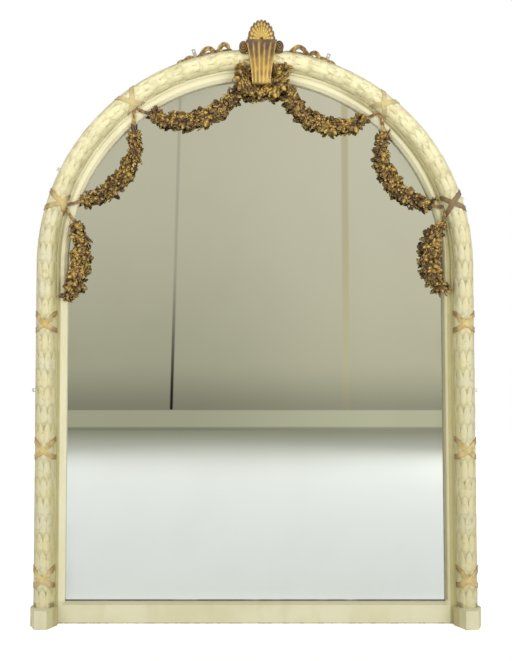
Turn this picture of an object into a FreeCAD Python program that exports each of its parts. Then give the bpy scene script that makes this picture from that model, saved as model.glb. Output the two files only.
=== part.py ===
import FreeCAD, Part
import math
import os

# Arched overmantel mirror, in millimetres.
# +X is the viewer's right, +Z is up and the front faces -Y. The wall plane is y = 0 and the shelf is z = 0.
# A section is drawn with u, the distance inward from the outer edge, and v, the distance out from the wall.

V = FreeCAD.Vector

# Outline
half_width = 621.0
spring_height = 1007.0

# Carcass, from the wall forward
board_thickness = 8.0
air_gap = 12.0
glass_thickness = 6.0
lip_depth = 14.0
rail_height = 50.5
rebate_width = 12.0

# Laurel moulding and its ribbon ties
moulding_inset = 4.0
moulding_width = 56.0
moulding_stilt = 8.0
ribbon_thickness = 2.5
ribbon_width = 9.0
stile_tie_rise = 20.0
arch_tie_rise = 26.0
first_tie = 128.5
tie_pitch = 354.5
left_tie_angles = (17.4, 52.8)
right_tie_angles = (17.0, 51.1)
left_tie_lean = 18.0
right_tie_lean = 8.0

# Sight slip
slip_clearance = 0.5
fillet_width = 2.5
fillet_height = 10.0
cove_width = 7.0
cove_sag = 1.6
flat_width = 7.0
flat_height = 4.0
bevel_width = 8.0
bevel_drop = 8.0
slip_seat = 15.0
fascia_lift = 4.0

# Plinths
plinth_height = 50.5
plinth_outer_ledge = 8.0
plinth_inner_ledge = 10.0
plinth_side = 20.0
plinth_chamfer = 20.0
plinth_projection = 30.0

# Mirror plate, blocks and backboards
glass_gap = 3.0
setting_block_length = 60.0
setting_block_reach = 270.0
glazing_block_length = 60.0
glazing_block_width = 12.0
glazing_block_depth = 10.0
glazing_block_pitch = 300.0
glazing_block_angles = (30.0, 60.0, 90.0, 120.0, 150.0)
board_count = 6
board_clearance = 1.0

# Fasteners
screw_radius = 2.0
screw_head_radius = 4.0
screw_head_depth = 2.5
screw_grip = 18.0
dowel_radius = 4.0
dowel_length = 40.0
dowel_spacing = 30.0

# Wall plates: an angle on the arch, or a height on a stile, and how far the ear stands out
plate_thickness = 2.5
plate_width = 11.0
plate_tail = 40.0
plate_hole_radius = 2.5
plate_hole_margin = 7.0
plate_ear = 17.0
plate_strap = 40.0
plate_low_height = 650.0
plate_left_angle = 153.6
plate_right_angle = 18.0
plate_top_left_angle = 105.6
plate_top_right_angle = 70.6
plate_screw_margin = 10.0
plate_screw_pitch = 20.0

# Crest
crest_offset = 18.0
keystone_rise = 8.0
keystone_height = 118.0
keystone_top_width = 81.0
keystone_foot_width = 52.0
keystone_waist = 5.0
keystone_top_depth = 38.0
keystone_foot_depth = 12.0
keystone_hollow = 5.0
roll_height = 22.0
roll_setback = 14.0
flute_count = 5
flute_top_radius = 6.0
flute_foot_radius = 4.0
volute_radius = 16.0
volute_overlap = 6.0
volute_front = 24.0
shell_width = 81.0
shell_height = 63.0
shell_thickness = 26.0
shell_lobes = 9
shell_lobe_swell = 5.0
shell_dome = 9.0
crest_dowel_radius = 4.0
crest_dowel_reach = 15.0

# Garland, swags and drops
garland_radii = (17.0, 21.0, 21.0, 19.0, 16.0, 15.0)
garland_half_span = 53.5
garland_top = 48.0
garland_shoulder = 8.0
garland_dip = 14.5
garland_lift = 18.0
swag_radius = 19.5
swag_end_radius = 11.0
drop_radius = 22.0
drop_end_radius = 9.0
swag_lift = 21.5
drop_lift = 32.0
wire_radius = 1.6
wire_bite = 8.0
wire_seat_depth = 7.0
wire_seat_angle = 15.0

# How each swag hangs: the offsets of its ends, in x and z, from the crest or from a tie,
# then the drift and the sag of its middle from halfway between the ends
upper_left_start = (-62.0, -4.0)
upper_left_end = (54.0, -33.0)
upper_left_middle = (5.0, -51.5)
upper_right_start = (74.0, 9.0)
upper_right_end = (-48.0, -35.0)
upper_right_middle = (-18.5, -64.0)
lower_left_start = (12.0, -79.0)
lower_left_end = (64.5, 8.0)
lower_left_middle = (44.0, -32.0)
lower_right_start = (0.0, -75.5)
lower_right_end = (-57.0, -1.0)
lower_right_middle = (-46.0, -35.5)
drop_left_start = (52.0, -54.0)
drop_left_end = (25.0, -277.0)
drop_left_middle = (26.5, 0.0)
drop_right_start = (-31.5, -54.5)
drop_right_end = (-17.0, -251.0)
drop_right_middle = (-41.0, -4.0)

# Ribbon bows: distances along the arch from its crown
bow_depth = 14.0
bow_band = 6.0
bow_ribbon = 6.0
bow_left_start = 62.0
bow_left_end = 212.0
bow_left_loops = ((87.0, 25.0), (133.0, 22.0))
bow_right_start = 84.0
bow_right_end = 242.0
bow_right_loops = ((128.0, 24.0), (173.0, 13.0))

# Sizes that follow
moulding_radius = moulding_width / 2
moulding_middle = moulding_inset + moulding_radius
moulding_edge = moulding_inset + moulding_width
quirk_width = ribbon_thickness + slip_clearance
slip_start = moulding_edge + quirk_width
carcass_width = slip_start + slip_seat
sight_edge = slip_start + fillet_width + cove_width + flat_width + bevel_width
bevel_start = sight_edge - bevel_width
lip_width = sight_edge - carcass_width
glass_back = board_thickness + air_gap
glass_front = glass_back + glass_thickness
carcass_depth = glass_front + lip_depth
moulding_seat = carcass_depth + moulding_stilt
moulding_top = moulding_seat + moulding_radius
fillet_top = carcass_depth + fillet_height
flat_top = carcass_depth + flat_height
rail_half_length = half_width - carcass_width
sight_bottom = rail_height + lip_width
arch_crown = spring_height + half_width
keystone_top = arch_crown + keystone_rise
keystone_foot = keystone_top - keystone_height
screw_length = board_thickness + screw_grip
arch_centre = V(0, 0, spring_height)
arch_axis = V(0, -1, 0)
segment_angles = (0.0, 45.0, 90.0, 135.0, 180.0)


# Drawing helpers

def outline_face(items, spot):
    """Face of a closed outline of corners (a, b) and arcs (mid a, mid b, a, b); spot places a point."""
    here = spot(*items[0])
    edges = []
    for item in items[1:] + items[:1]:
        there = spot(*item[-2:])
        if len(item) == 4:
            edges.append(Part.Arc(here, spot(*item[:2]), there).toShape())
        elif there != here:
            edges.append(Part.LineSegment(here, there).toShape())
        here = there
    return Part.Face(Part.Wire(edges))


def section(items):
    """Face at the right-hand spring point, from an outline in u and v."""
    return outline_face(items, lambda u, v: V(half_width - u, -v, spring_height))


def upright(face, bottom, top):
    """Right-hand length of a section between two heights."""
    base = face.copy()
    base.translate(V(0, 0, bottom - spring_height))
    return base.extrude(V(0, 0, top - bottom))


def at_station(shape, angle, height=None):
    """Copy of a shape at the right-hand spring point, turned along the arch or set at a height."""
    copy = shape.copy()
    copy.rotate(arch_centre, arch_axis, angle)
    if height is not None:
        copy.translate(V(0, 0, height - spring_height))
    return copy


def bend(face, first, last):
    """Arch length of a section between two angles."""
    return at_station(face.revolve(arch_centre, arch_axis, last - first), first)


def arch_lengths(face):
    return [bend(face, a, b) for a, b in zip(segment_angles, segment_angles[1:])]


def mirrored(shape):
    return shape.mirror(V(0, 0, 0), V(1, 0, 0))


def front_prism(items, back, front):
    """Prism of an outline in x and z, between two distances from the wall."""
    return outline_face(items, lambda x, z: V(x, -back, z)).extrude(V(0, back - front, 0))


def side_bar(items, half_length):
    """Bar along X, about the middle, from an outline in v and z."""
    face = outline_face(items, lambda v, z: V(-half_length, -v, z))
    return face.extrude(V(2 * half_length, 0, 0))


def block(x0, x1, v0, v1, z0, z1):
    return Part.makeBox(x1 - x0, v1 - v0, z1 - z0, V(x0, -v1, z0))


def round_bar(radius, start, end):
    run = end - start
    return Part.makeCylinder(radius, run.Length, start, run)


def on_arch(radius, angle, v):
    turn = math.radians(angle)
    return V(radius * math.cos(turn), -v, spring_height + radius * math.sin(turn))


def cut_all(shape, tools):
    for tool in tools:
        shape = shape.cut(tool)
    return shape


def joined(shapes):
    whole = shapes[0]
    for shape in shapes[1:]:
        whole = whole.fuse(shape)
    return whole.removeSplitter()


# Carcass

carcass_outline = [
    (0, 0), (carcass_width - rebate_width, 0), (carcass_width - rebate_width, board_thickness),
    (carcass_width, board_thickness), (carcass_width, carcass_depth), (0, carcass_depth)]
stile_right = upright(section(carcass_outline), rail_height - rebate_width, spring_height)
foot_outline = [(0, 0), (carcass_width, 0), (carcass_width, carcass_depth), (0, carcass_depth)]
stile_foot = upright(section(foot_outline), 0, rail_height - rebate_width)
stile_right = joined([stile_right, stile_foot])
stile_left = mirrored(stile_right)
arch_carcass = arch_lengths(section(carcass_outline))
rail_block = block(-rail_half_length, rail_half_length, 0, carcass_depth, 0, rail_height)
rail_rebate = block(-rail_half_length, rail_half_length, 0, board_thickness,
                    rail_height - rebate_width, rail_height)
bottom_rail = rail_block.cut(rail_rebate)

# Dowels at the carcass joints: up the stiles, between the arch lengths and through the ends of the rail
dowel_v = (board_thickness + carcass_depth) / 2
dowel_u = [(carcass_width - rebate_width + side * dowel_spacing) / 2 for side in (-1, 1)]
joint_dowels = [
    round_bar(dowel_radius, V(half_width - u, -dowel_v, spring_height - dowel_length / 2),
              V(half_width - u, -dowel_v, spring_height + dowel_length / 2)) for u in dowel_u]
frame_dowels = [at_station(dowel, angle) for dowel in joint_dowels for angle in segment_angles]
for side in (-1, 1):
    for share in (0.25, 0.7):
        end = V(side * rail_half_length, -dowel_v, rail_height * share)
        reach = V(dowel_length / 2, 0, 0)
        frame_dowels.append(round_bar(dowel_radius, end - reach, end + reach))

# Laurel moulding: a half-round on a low stilt
moulding_face = section([
    (moulding_inset, carcass_depth), (moulding_edge, carcass_depth), (moulding_edge, moulding_seat),
    (moulding_middle, moulding_top, moulding_inset, moulding_seat)])
moulding_right = upright(moulding_face, plinth_height, spring_height)
moulding_arch = arch_lengths(moulding_face)

# Crossed ribbon ties: a thin skin over the half-round, cut to two crossing bands
skin_face = section([
    (moulding_inset - ribbon_thickness, moulding_seat), (moulding_inset, moulding_seat),
    (moulding_middle, moulding_top, moulding_edge, moulding_seat),
    (moulding_edge + ribbon_thickness, moulding_seat),
    (moulding_middle, moulding_top + ribbon_thickness, moulding_inset - ribbon_thickness, moulding_seat)])
tie_circle = half_width - moulding_middle
arm_length = 3 * moulding_width


def tie_reach(rise):
    return rise + 1.5 * ribbon_width


def crossed_bands(skin, rise, lean):
    """Two bands cut from a skin: crossed the lean inward of its crown, spread to the rise at its edges."""
    middle = V(tie_circle - lean, 0, spring_height)
    arms = []
    for run in (moulding_radius + lean, lean - moulding_radius):
        for climb in (-rise, rise):
            arm = block(middle.x - ribbon_width / 2, middle.x + arm_length,
                        carcass_depth, moulding_top + moulding_radius,
                        spring_height - ribbon_width / 2, spring_height + ribbon_width / 2)
            arm.rotate(middle, arch_axis, math.degrees(math.atan2(climb, run)))
            arms.append(arm)
    return skin.common(joined(arms)).removeSplitter()


stile_reach = tie_reach(stile_tie_rise)
stile_skin = upright(skin_face, spring_height - stile_reach, spring_height + stile_reach)
stile_tie = crossed_bands(stile_skin, stile_tie_rise, 0)
stile_tie_count = int((spring_height - stile_reach - first_tie) / tie_pitch) + 1
stile_tie_heights = [first_tie + number * tie_pitch for number in range(stile_tie_count)]
left_tie_stations = [180 - angle for angle in left_tie_angles]
right_tie_stations = list(right_tie_angles)
arch_turn = math.degrees(tie_reach(arch_tie_rise) / tie_circle)
arch_skin = bend(skin_face, -arch_turn, arch_turn)


def side_ties(stile_angle, stations, lean):
    """Every tie of one side: up the stile, then at its stations on the arch."""
    arch_tie = crossed_bands(arch_skin, arch_tie_rise, lean)
    return [at_station(stile_tie, stile_angle, height) for height in stile_tie_heights] + [
        at_station(arch_tie, station) for station in stations]


# Sight slip: an L-section that laps the inner edge of the carcass and holds the plate
cove_start = slip_start + fillet_width
cove_end = cove_start + cove_width
slip_face = section([
    (slip_start, carcass_depth), (slip_start, fillet_top), (cove_start, fillet_top),
    (cove_start + cove_width / 2 - cove_sag, (fillet_top + flat_top) / 2 - cove_sag, cove_end, flat_top),
    (bevel_start, flat_top), (sight_edge, flat_top - bevel_drop), (sight_edge, glass_front),
    (carcass_width, glass_front), (carcass_width, carcass_depth)])
slip_right = upright(slip_face, fascia_lift, spring_height)
slip_arch = arch_lengths(slip_face)

# Plinths: half an octagon on the foot of each stile
plinth_outer = moulding_inset - plinth_outer_ledge
plinth_inner = moulding_edge + plinth_inner_ledge
plinth_shoulder = carcass_depth + plinth_side
plinth_front = moulding_top + plinth_projection
plinth_right = upright(section([
    (plinth_outer, carcass_depth), (plinth_outer, plinth_shoulder),
    (plinth_outer + plinth_chamfer, plinth_front), (plinth_inner - plinth_chamfer, plinth_front),
    (plinth_inner, plinth_shoulder), (plinth_inner, carcass_depth)]), 0, plinth_height)

# Rail fascia, mitred to the bevel of the slip
bevel_x = half_width - bevel_start
sight_x = half_width - sight_edge
mitre_foot = sight_bottom - bevel_width
fascia_bar = side_bar([
    (carcass_depth, fascia_lift), (flat_top, fascia_lift), (flat_top, mitre_foot),
    (flat_top - bevel_drop, sight_bottom), (glass_front, sight_bottom), (glass_front, rail_height),
    (carcass_depth, rail_height)], half_width)
rail_fascia = fascia_bar.common(front_prism([
    (-bevel_x, 0), (-bevel_x, mitre_foot), (-sight_x, sight_bottom),
    (sight_x, sight_bottom), (bevel_x, mitre_foot), (bevel_x, 0)], 0, fillet_top))
mitre_waste = front_prism([
    (bevel_x, 0), (bevel_x, mitre_foot), (sight_x, sight_bottom), (sight_x - bevel_width, sight_bottom),
    (sight_x - bevel_width, 0)], 0, fillet_top)
slip_right = cut_all(slip_right, [plinth_right, rail_block, mitre_waste])

# Mirror plate and the blocks that seat it
plate_x = rail_half_length - glass_gap
plate_foot = rail_height + glass_gap
mirror_plate = front_prism([
    (-plate_x, plate_foot), (-plate_x, spring_height), (0, spring_height + plate_x, plate_x, spring_height),
    (plate_x, plate_foot)], glass_back, glass_front)
setting_blocks = [
    block(x - setting_block_length / 2, x + setting_block_length / 2, glass_back, glass_front,
          rail_height, plate_foot) for x in (-setting_block_reach, setting_block_reach)]
block_face = section([
    (carcass_width, glass_back), (carcass_width, glass_back - glazing_block_depth),
    (carcass_width + glazing_block_width, glass_back)])
block_turn = math.degrees(glazing_block_length / 2 / rail_half_length)
bent_block = bend(block_face, -block_turn, block_turn)
long_block = upright(block_face, spring_height - glazing_block_length / 2,
                     spring_height + glazing_block_length / 2)
glazing_blocks = [at_station(bent_block, angle) for angle in glazing_block_angles]
for number in range(1, int((spring_height - glazing_block_length) / glazing_block_pitch) + 1):
    for angle in (0.0, 180.0):
        glazing_blocks.append(at_station(long_block, angle, number * glazing_block_pitch))
foot_block = side_bar([
    (glass_back, rail_height), (glass_back - glazing_block_depth, rail_height),
    (glass_back, rail_height + glazing_block_width)], glazing_block_length / 2)
for x in (-glazing_block_pitch, 0.0, glazing_block_pitch):
    glazing_blocks.append(foot_block.translated(V(x, 0, 0)))

# Backboards in the rebate, with their screws
board_x = rail_half_length + rebate_width - board_clearance
board_foot = rail_height - rebate_width + board_clearance
board_panel = front_prism([
    (-board_x, board_foot), (-board_x, spring_height), (0, spring_height + board_x, board_x, spring_height),
    (board_x, board_foot)], 0, board_thickness)
board_height = (spring_height + board_x - board_foot) / board_count
backboards = []
for number in range(board_count):
    low = board_foot + number * board_height
    strip = block(-board_x, board_x, 0, board_thickness, low, low + board_height)
    backboards.append(board_panel.common(strip))


def screw(spot):
    """Countersunk screw driven forward from the back."""
    forward = V(0, -1, 0)
    head = Part.makeCone(screw_head_radius, screw_radius, screw_head_depth, spot, forward)
    shank = Part.makeCylinder(screw_radius, screw_length, spot, forward)
    return head.fuse(shank).removeSplitter()


screw_circle = rail_half_length + rebate_width / 2
board_screws = []
for number in range(board_count):
    for share in (0.2, 0.8):
        height = board_foot + (number + share) * board_height
        rise = max(0.0, height - spring_height)
        reach = math.sqrt(screw_circle ** 2 - rise ** 2)
        for x in (-reach, reach):
            board_screws.append(screw(V(x, 0, height)))
for x in (-glazing_block_pitch, 0.0, glazing_block_pitch):
    board_screws.append(screw(V(x, 0, rail_height - rebate_width / 2)))

# Wall plates let into the back, each with an ear and a hole for a wall screw
plate_places = {
    "wall_plate_low_right": (0.0, plate_low_height, plate_ear),
    "wall_plate_low_left": (180.0, plate_low_height, plate_ear),
    "wall_plate_high_right": (plate_right_angle, None, plate_ear),
    "wall_plate_high_left": (plate_left_angle, None, plate_ear),
    "wall_plate_top_right": (plate_top_right_angle, None, plate_strap),
    "wall_plate_top_left": (plate_top_left_angle, None, plate_strap)}
plate_screw_seats = [
    V(half_width - plate_screw_margin, 0, spring_height),
    V(half_width - plate_screw_margin - plate_screw_pitch, 0, spring_height)]
wall_plates = {}
plate_screws = []
plate_pockets = []
for name, (angle, height, ear) in plate_places.items():
    bar = block(half_width - plate_tail, half_width + ear, 0, plate_thickness,
                spring_height - plate_width / 2, spring_height + plate_width / 2)
    hole_spot = V(half_width + ear - plate_hole_margin, 0, spring_height)
    hole = Part.makeCylinder(plate_hole_radius, plate_thickness, hole_spot, V(0, -1, 0))
    seats = [screw(spot) for spot in plate_screw_seats]
    plate_pockets.append(at_station(bar, angle, height))
    plate_screws += [at_station(seat, angle, height) for seat in seats]
    wall_plates[name] = at_station(cut_all(bar, [hole] + seats), angle, height)

# Keystone: a fluted console with hollow sides that rolls back at its top
def keystone_side(sign):
    """Top, waist and foot of one side of the keystone, as x and z."""
    top = crest_offset + sign * keystone_top_width / 2
    foot = crest_offset + sign * keystone_foot_width / 2
    return top, (top + foot) / 2 - sign * keystone_waist, foot


right_top, right_waist, right_foot = keystone_side(1)
left_top, left_waist, left_foot = keystone_side(-1)
keystone_middle = (keystone_top + keystone_foot) / 2
top_front = moulding_top + keystone_top_depth
foot_front = moulding_top + keystone_foot_depth
roll_foot = keystone_top - roll_height
keystone_outline = front_prism([
    (left_foot, keystone_foot), (left_waist, keystone_middle, left_top, keystone_top),
    (right_top, keystone_top), (right_waist, keystone_middle, right_foot, keystone_foot)],
    fillet_top, top_front)
keystone_profile = side_bar([
    (fillet_top, keystone_foot), (foot_front, keystone_foot),
    ((foot_front + top_front) / 2 - keystone_hollow, (keystone_foot + roll_foot) / 2,
     top_front - roll_setback / 4, roll_foot),
    (top_front, keystone_top - roll_height / 2, top_front - roll_setback, keystone_top),
    (fillet_top, keystone_top)], half_width)
flutes = []
for number in range(flute_count):
    share = (number + 0.5) / flute_count - 0.5
    foot_spot = V(crest_offset + share * keystone_foot_width, -foot_front, keystone_foot)
    roll_spot = V(crest_offset + share * keystone_top_width, -top_front, roll_foot)
    run = roll_spot - foot_spot
    flutes.append(Part.makeCone(flute_foot_radius, flute_top_radius, run.Length, foot_spot, run))
keystone = cut_all(keystone_outline.common(keystone_profile), flutes + moulding_arch[1:3])

# Scrolls beside the keystone
volutes = {}
volute_height = keystone_top - volute_radius
for name, sign, edge in (("volute_left", -1, left_top), ("volute_right", 1, right_top)):
    spot = V(edge + sign * (volute_radius - volute_overlap), -moulding_seat, volute_height)
    roll = Part.makeCylinder(volute_radius, moulding_radius + volute_front, spot, V(0, -1, 0))
    volutes[name] = cut_all(roll, [keystone_outline] + moulding_arch[1:3])

# Shell: a fan of lobes with a domed front, standing on the keystone
shell_back = top_front - roll_setback - shell_thickness


def shell_spot(turn, swell):
    """Point on the rim of the fan, from straight left (0) over the top to straight right (180)."""
    angle = math.radians(180 - turn)
    return (crest_offset + (shell_width / 2 - shell_lobe_swell + swell) * math.cos(angle),
            keystone_top + (shell_height - shell_lobe_swell + swell) * math.sin(angle))


lobe_turn = 180.0 / shell_lobes
shell_rim = [shell_spot(0, 0)]
for number in range(shell_lobes):
    shell_rim.append(shell_spot((number + 0.5) * lobe_turn, shell_lobe_swell)
                     + shell_spot((number + 1) * lobe_turn, 0))
shell_front = shell_back + shell_thickness
dome_radius = (shell_height ** 2 + shell_dome ** 2) / (2 * shell_dome)
shell_dome_ball = Part.makeSphere(dome_radius, V(crest_offset, dome_radius - shell_front, keystone_top))
shell = front_prism(shell_rim, shell_back, shell_front).common(shell_dome_ball)

# Dowels that hold the keystone to the moulding and the shell to the keystone
keystone_dowel_spot = V(crest_offset, -moulding_top, spring_height + tie_circle)
shell_dowel_spot = V(crest_offset, -(shell_back + shell_thickness / 2), keystone_top)
crest_dowels = [
    round_bar(crest_dowel_radius, spot - reach, spot + reach) for spot, reach in (
        (keystone_dowel_spot, V(0, crest_dowel_reach, 0)), (shell_dowel_spot, V(0, 0, crest_dowel_reach)))]
keystone = cut_all(keystone, crest_dowels)
shell = cut_all(shell, crest_dowels)


# Garland, swags and drops: tapering tubes along arcs
def tapered_tube(path, radii):
    """Loft of circles spaced evenly along a list of edges."""
    stations = len(radii)
    wire = Part.Wire(path)
    rings = []
    spots = wire.discretize(Number=stations)
    for number, radius in enumerate(radii):
        before = spots[max(0, number - 1)]
        after = spots[min(stations - 1, number + 1)]
        rings.append(Part.Wire(Part.makeCircle(radius, spots[number], after - before)))
    return Part.makeLoft(rings, True, False)


def swell(end_radius, middle_radius, count=7):
    """Radii that grow from the ends to the middle of a swag."""
    shares = [math.sin(math.pi * (number + 0.5) / count) for number in range(count)]
    return [end_radius + (middle_radius - end_radius) * share for share in shares]


def hanging(start, middle, end):
    """Start, middle and end of a swag, with the middle's drift and sag from halfway between its ends."""
    return start, (start + end) * 0.5 + V(middle[0], 0, middle[1]), end


def crest_point(x, z, v):
    return V(crest_offset + x, -v, keystone_foot + z)


garland_v = fillet_top + garland_lift
left_shoulder = crest_point(-garland_half_span, garland_shoulder, garland_v)
right_shoulder = crest_point(garland_half_span, garland_shoulder, garland_v)
garland_path = [
    Part.LineSegment(crest_point(-garland_half_span, garland_top, garland_v), left_shoulder).toShape(),
    Part.Arc(left_shoulder, crest_point(0, -garland_dip, fillet_top), right_shoulder).toShape(),
    Part.LineSegment(right_shoulder, crest_point(garland_half_span, garland_top, garland_v)).toShape()]
crest_garland = tapered_tube(garland_path, garland_radii + garland_radii[-2::-1])
crest_garland = cut_all(crest_garland, [keystone] + moulding_arch[1:3] + slip_arch[1:3])

swag_v = glass_front + swag_lift
drop_v = glass_front + drop_lift


def from_tie(station, offset, v):
    """Point at an offset, in x and z, from the middle of a ribbon tie."""
    return on_arch(tie_circle, station, v) + V(offset[0], 0, offset[1])


def from_crest(offset, v):
    return crest_point(offset[0], offset[1], v)


swag_paths = {}
for side, (low_tie, high_tie), shape in (
        ("left", left_tie_stations, (
            upper_left_start, upper_left_middle, upper_left_end, lower_left_start, lower_left_middle,
            lower_left_end, drop_left_start, drop_left_middle, drop_left_end)),
        ("right", right_tie_stations, (
            upper_right_start, upper_right_middle, upper_right_end, lower_right_start, lower_right_middle,
            lower_right_end, drop_right_start, drop_right_middle, drop_right_end))):
    swag_paths["swag_upper_" + side] = hanging(
        from_crest(shape[0], swag_v), shape[1], from_tie(high_tie, shape[2], swag_v))
    swag_paths["swag_lower_" + side] = hanging(
        from_tie(high_tie, shape[3], swag_v), shape[4], from_tie(low_tie, shape[5], swag_v))
    swag_paths["drop_" + side] = hanging(
        from_tie(low_tie, shape[6], drop_v), shape[7], from_tie(low_tie, shape[8], drop_v))
swags = {}
for name, points in swag_paths.items():
    radii = swell(drop_end_radius, drop_radius) if "drop" in name else swell(swag_end_radius, swag_radius)
    swags[name] = tapered_tube([Part.Arc(*points).toShape()], radii)

# Wires that hang the swags: from the flank of the moulding at a tie into the end of a swag
wire_seat_radius = moulding_radius - wire_seat_depth
wire_u = moulding_middle + wire_seat_radius * math.cos(math.radians(wire_seat_angle))
wire_v = moulding_seat + wire_seat_radius * math.sin(math.radians(wire_seat_angle))


def wire(station, end):
    start = on_arch(half_width - wire_u, station, wire_v)
    run = end - start
    return round_bar(wire_radius, start, end + run * (wire_bite / run.Length))


swag_wires = []
for side, (low_tie, high_tie) in (("left", left_tie_stations), ("right", right_tie_stations)):
    for name, station, end in (("swag_upper", high_tie, 2), ("swag_lower", high_tie, 0),
                               ("swag_lower", low_tie, 2), ("drop", low_tie, 0)):
        swag_wires.append(wire(station, swag_paths[name + "_" + side][end]))

# Ribbon bows: half loops and a running band on the top edge of the moulding
bow_circle = half_width - moulding_inset


def bow(sign, start, end, loops):
    def angle_at(run):
        return 90 - sign * math.degrees(run / bow_circle)
    low, high = sorted((angle_at(start), angle_at(end)))
    band_face = section([
        (moulding_inset, carcass_depth), (moulding_inset - bow_band, carcass_depth),
        (moulding_inset - bow_band, carcass_depth + bow_depth),
        (moulding_inset, carcass_depth + bow_depth)])
    outside = [bend(band_face, low, high)]
    inside = []
    for run, radius in loops:
        spot = on_arch(bow_circle, angle_at(run), carcass_depth)
        outside.append(Part.makeCylinder(radius, bow_depth, spot, V(0, -1, 0)))
        inside.append(Part.makeCylinder(radius - bow_ribbon, bow_depth, spot, V(0, -1, 0)))
    return cut_all(cut_all(joined(outside), inside), moulding_arch[1:3])


bow_left = bow(-1, bow_left_start, bow_left_end, bow_left_loops)
bow_right = bow(1, bow_right_start, bow_right_end, bow_right_loops)

# Holes and seats, cut where one piece passes into another
slip_left = mirrored(slip_right)
moulding_left = mirrored(moulding_right)
plinth_left = mirrored(plinth_right)
moulding_arch = [cut_all(length, swag_wires + crest_dowels) for length in moulding_arch]
carcass_tools = frame_dowels + board_screws + plate_pockets + plate_screws


def drilled(shape, tools):
    """Cut only the tools that reach the shape."""
    near = [tool for tool in tools if tool.BoundBox.intersect(shape.BoundBox)]
    return cut_all(shape, near)


stile_left = drilled(stile_left, carcass_tools)
stile_right = drilled(stile_right, carcass_tools)
bottom_rail = drilled(bottom_rail, carcass_tools)
arch_carcass = [drilled(length, carcass_tools) for length in arch_carcass]
backboards = [drilled(board, board_screws) for board in backboards]
ties_left = side_ties(180.0, left_tie_stations, left_tie_lean)
ties_right = side_ties(0.0, right_tie_stations, right_tie_lean)
swag_neighbours = [slip_left, slip_right, crest_garland] + slip_arch + swag_wires
swags = {name: drilled(tube, swag_neighbours) for name, tube in swags.items()}

# One node for each piece, with like fasteners grouped
nodes = {
    "stile_left": stile_left, "stile_right": stile_right, "bottom_rail": bottom_rail,
    "rail_fascia": rail_fascia, "plinth_left": plinth_left, "plinth_right": plinth_right,
    "laurel_moulding_left": moulding_left, "laurel_moulding_right": moulding_right,
    "sight_slip_left": slip_left, "sight_slip_right": slip_right, "mirror_plate": mirror_plate,
    "keystone": keystone, "shell": shell, "crest_garland": crest_garland,
    "ribbon_bow_left": bow_left, "ribbon_bow_right": bow_right,
    "ribbon_ties_left": Part.makeCompound(ties_left), "ribbon_ties_right": Part.makeCompound(ties_right),
    "swag_wires": Part.makeCompound(swag_wires), "crest_dowels": Part.makeCompound(crest_dowels),
    "setting_blocks": Part.makeCompound(setting_blocks), "glazing_blocks": Part.makeCompound(glazing_blocks),
    "backboard_screws": Part.makeCompound(board_screws), "frame_dowels": Part.makeCompound(frame_dowels),
    "wall_plate_screws": Part.makeCompound(plate_screws)}
nodes.update(volutes)
nodes.update(swags)
nodes.update(wall_plates)
for stem, lengths in (("arch_carcass", arch_carcass), ("laurel_moulding_arch", moulding_arch),
                      ("sight_slip_arch", slip_arch), ("backboard", backboards)):
    for number, length in enumerate(lengths, 1):
        nodes["%s_%d" % (stem, number)] = length

os.makedirs("parts", exist_ok=True)
for name, shape in nodes.items():
    shape.exportStep("parts/%s.step" % name)
    print(name, len(shape.Solids), "valid" if shape.isValid() else "not valid", round(shape.Volume))
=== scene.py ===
"""Overmantel mirror: painted laurel frame, gilt flowers and crest, and a silvered plate.

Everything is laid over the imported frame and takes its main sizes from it.
"""
import math

import bmesh
import bpy
from bpy.props import FloatProperty, FloatVectorProperty, IntProperty, PointerProperty
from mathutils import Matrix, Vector


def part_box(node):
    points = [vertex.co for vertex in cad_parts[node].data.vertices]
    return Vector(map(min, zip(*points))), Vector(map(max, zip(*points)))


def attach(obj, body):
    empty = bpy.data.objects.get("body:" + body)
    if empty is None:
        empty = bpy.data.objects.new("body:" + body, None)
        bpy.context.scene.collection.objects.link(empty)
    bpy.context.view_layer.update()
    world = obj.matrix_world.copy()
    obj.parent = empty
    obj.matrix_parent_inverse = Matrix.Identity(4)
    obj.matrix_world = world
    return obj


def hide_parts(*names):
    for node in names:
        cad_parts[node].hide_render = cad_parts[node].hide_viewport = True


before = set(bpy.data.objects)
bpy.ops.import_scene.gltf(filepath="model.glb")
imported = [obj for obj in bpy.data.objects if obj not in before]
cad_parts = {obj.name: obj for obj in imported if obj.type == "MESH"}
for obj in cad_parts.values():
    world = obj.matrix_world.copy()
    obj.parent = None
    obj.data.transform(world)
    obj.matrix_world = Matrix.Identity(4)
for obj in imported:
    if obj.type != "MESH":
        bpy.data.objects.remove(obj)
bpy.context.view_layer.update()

bl_info = {
    "name": "Overmantel Mirror",
    "version": (1, 0, 0),
    "blender": (4, 5, 0),
    "location": "View3D > Sidebar > Mirror",
    "description": "Dresses an arched overmantel mirror with leaves, flowers, gilding and paint",
    "category": "Object",
}


def corners(node):
    low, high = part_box(node)
    return Vector(low), Vector(high)


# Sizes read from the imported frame
stile_low, stile_high = corners("stile_right")
round_low, round_high = corners("laurel_moulding_right")
outer_edge = stile_high.x
spring = stile_high.z
round_radius = (round_high.x - round_low.x) / 2
round_middle = (round_high.x + round_low.x) / 2
round_seat = -round_low.y - round_radius
plinth_top = round_low.z
slip_low, slip_high = corners("sight_slip_right")
slip_start = outer_edge - slip_high.x
sight_edge = outer_edge - slip_low.x
rail_top = corners("rail_fascia")[1].z

# Height at which the paint of the stiles starts to change into the paint of the arch, which is lightened
# there as painted light
arch_foot = 1.0


def linear(red, green, blue):
    """Linear colour of an ordinary 0 to 255 colour."""
    parts = [channel / 255 for channel in (red, green, blue)]
    return [part / 12.92 if part <= 0.04045 else ((part + 0.055) / 1.055) ** 2.4 for part in parts]


def length(name, description, default):
    return FloatProperty(name=name, description=description, default=default, unit="LENGTH", precision=4)


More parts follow.
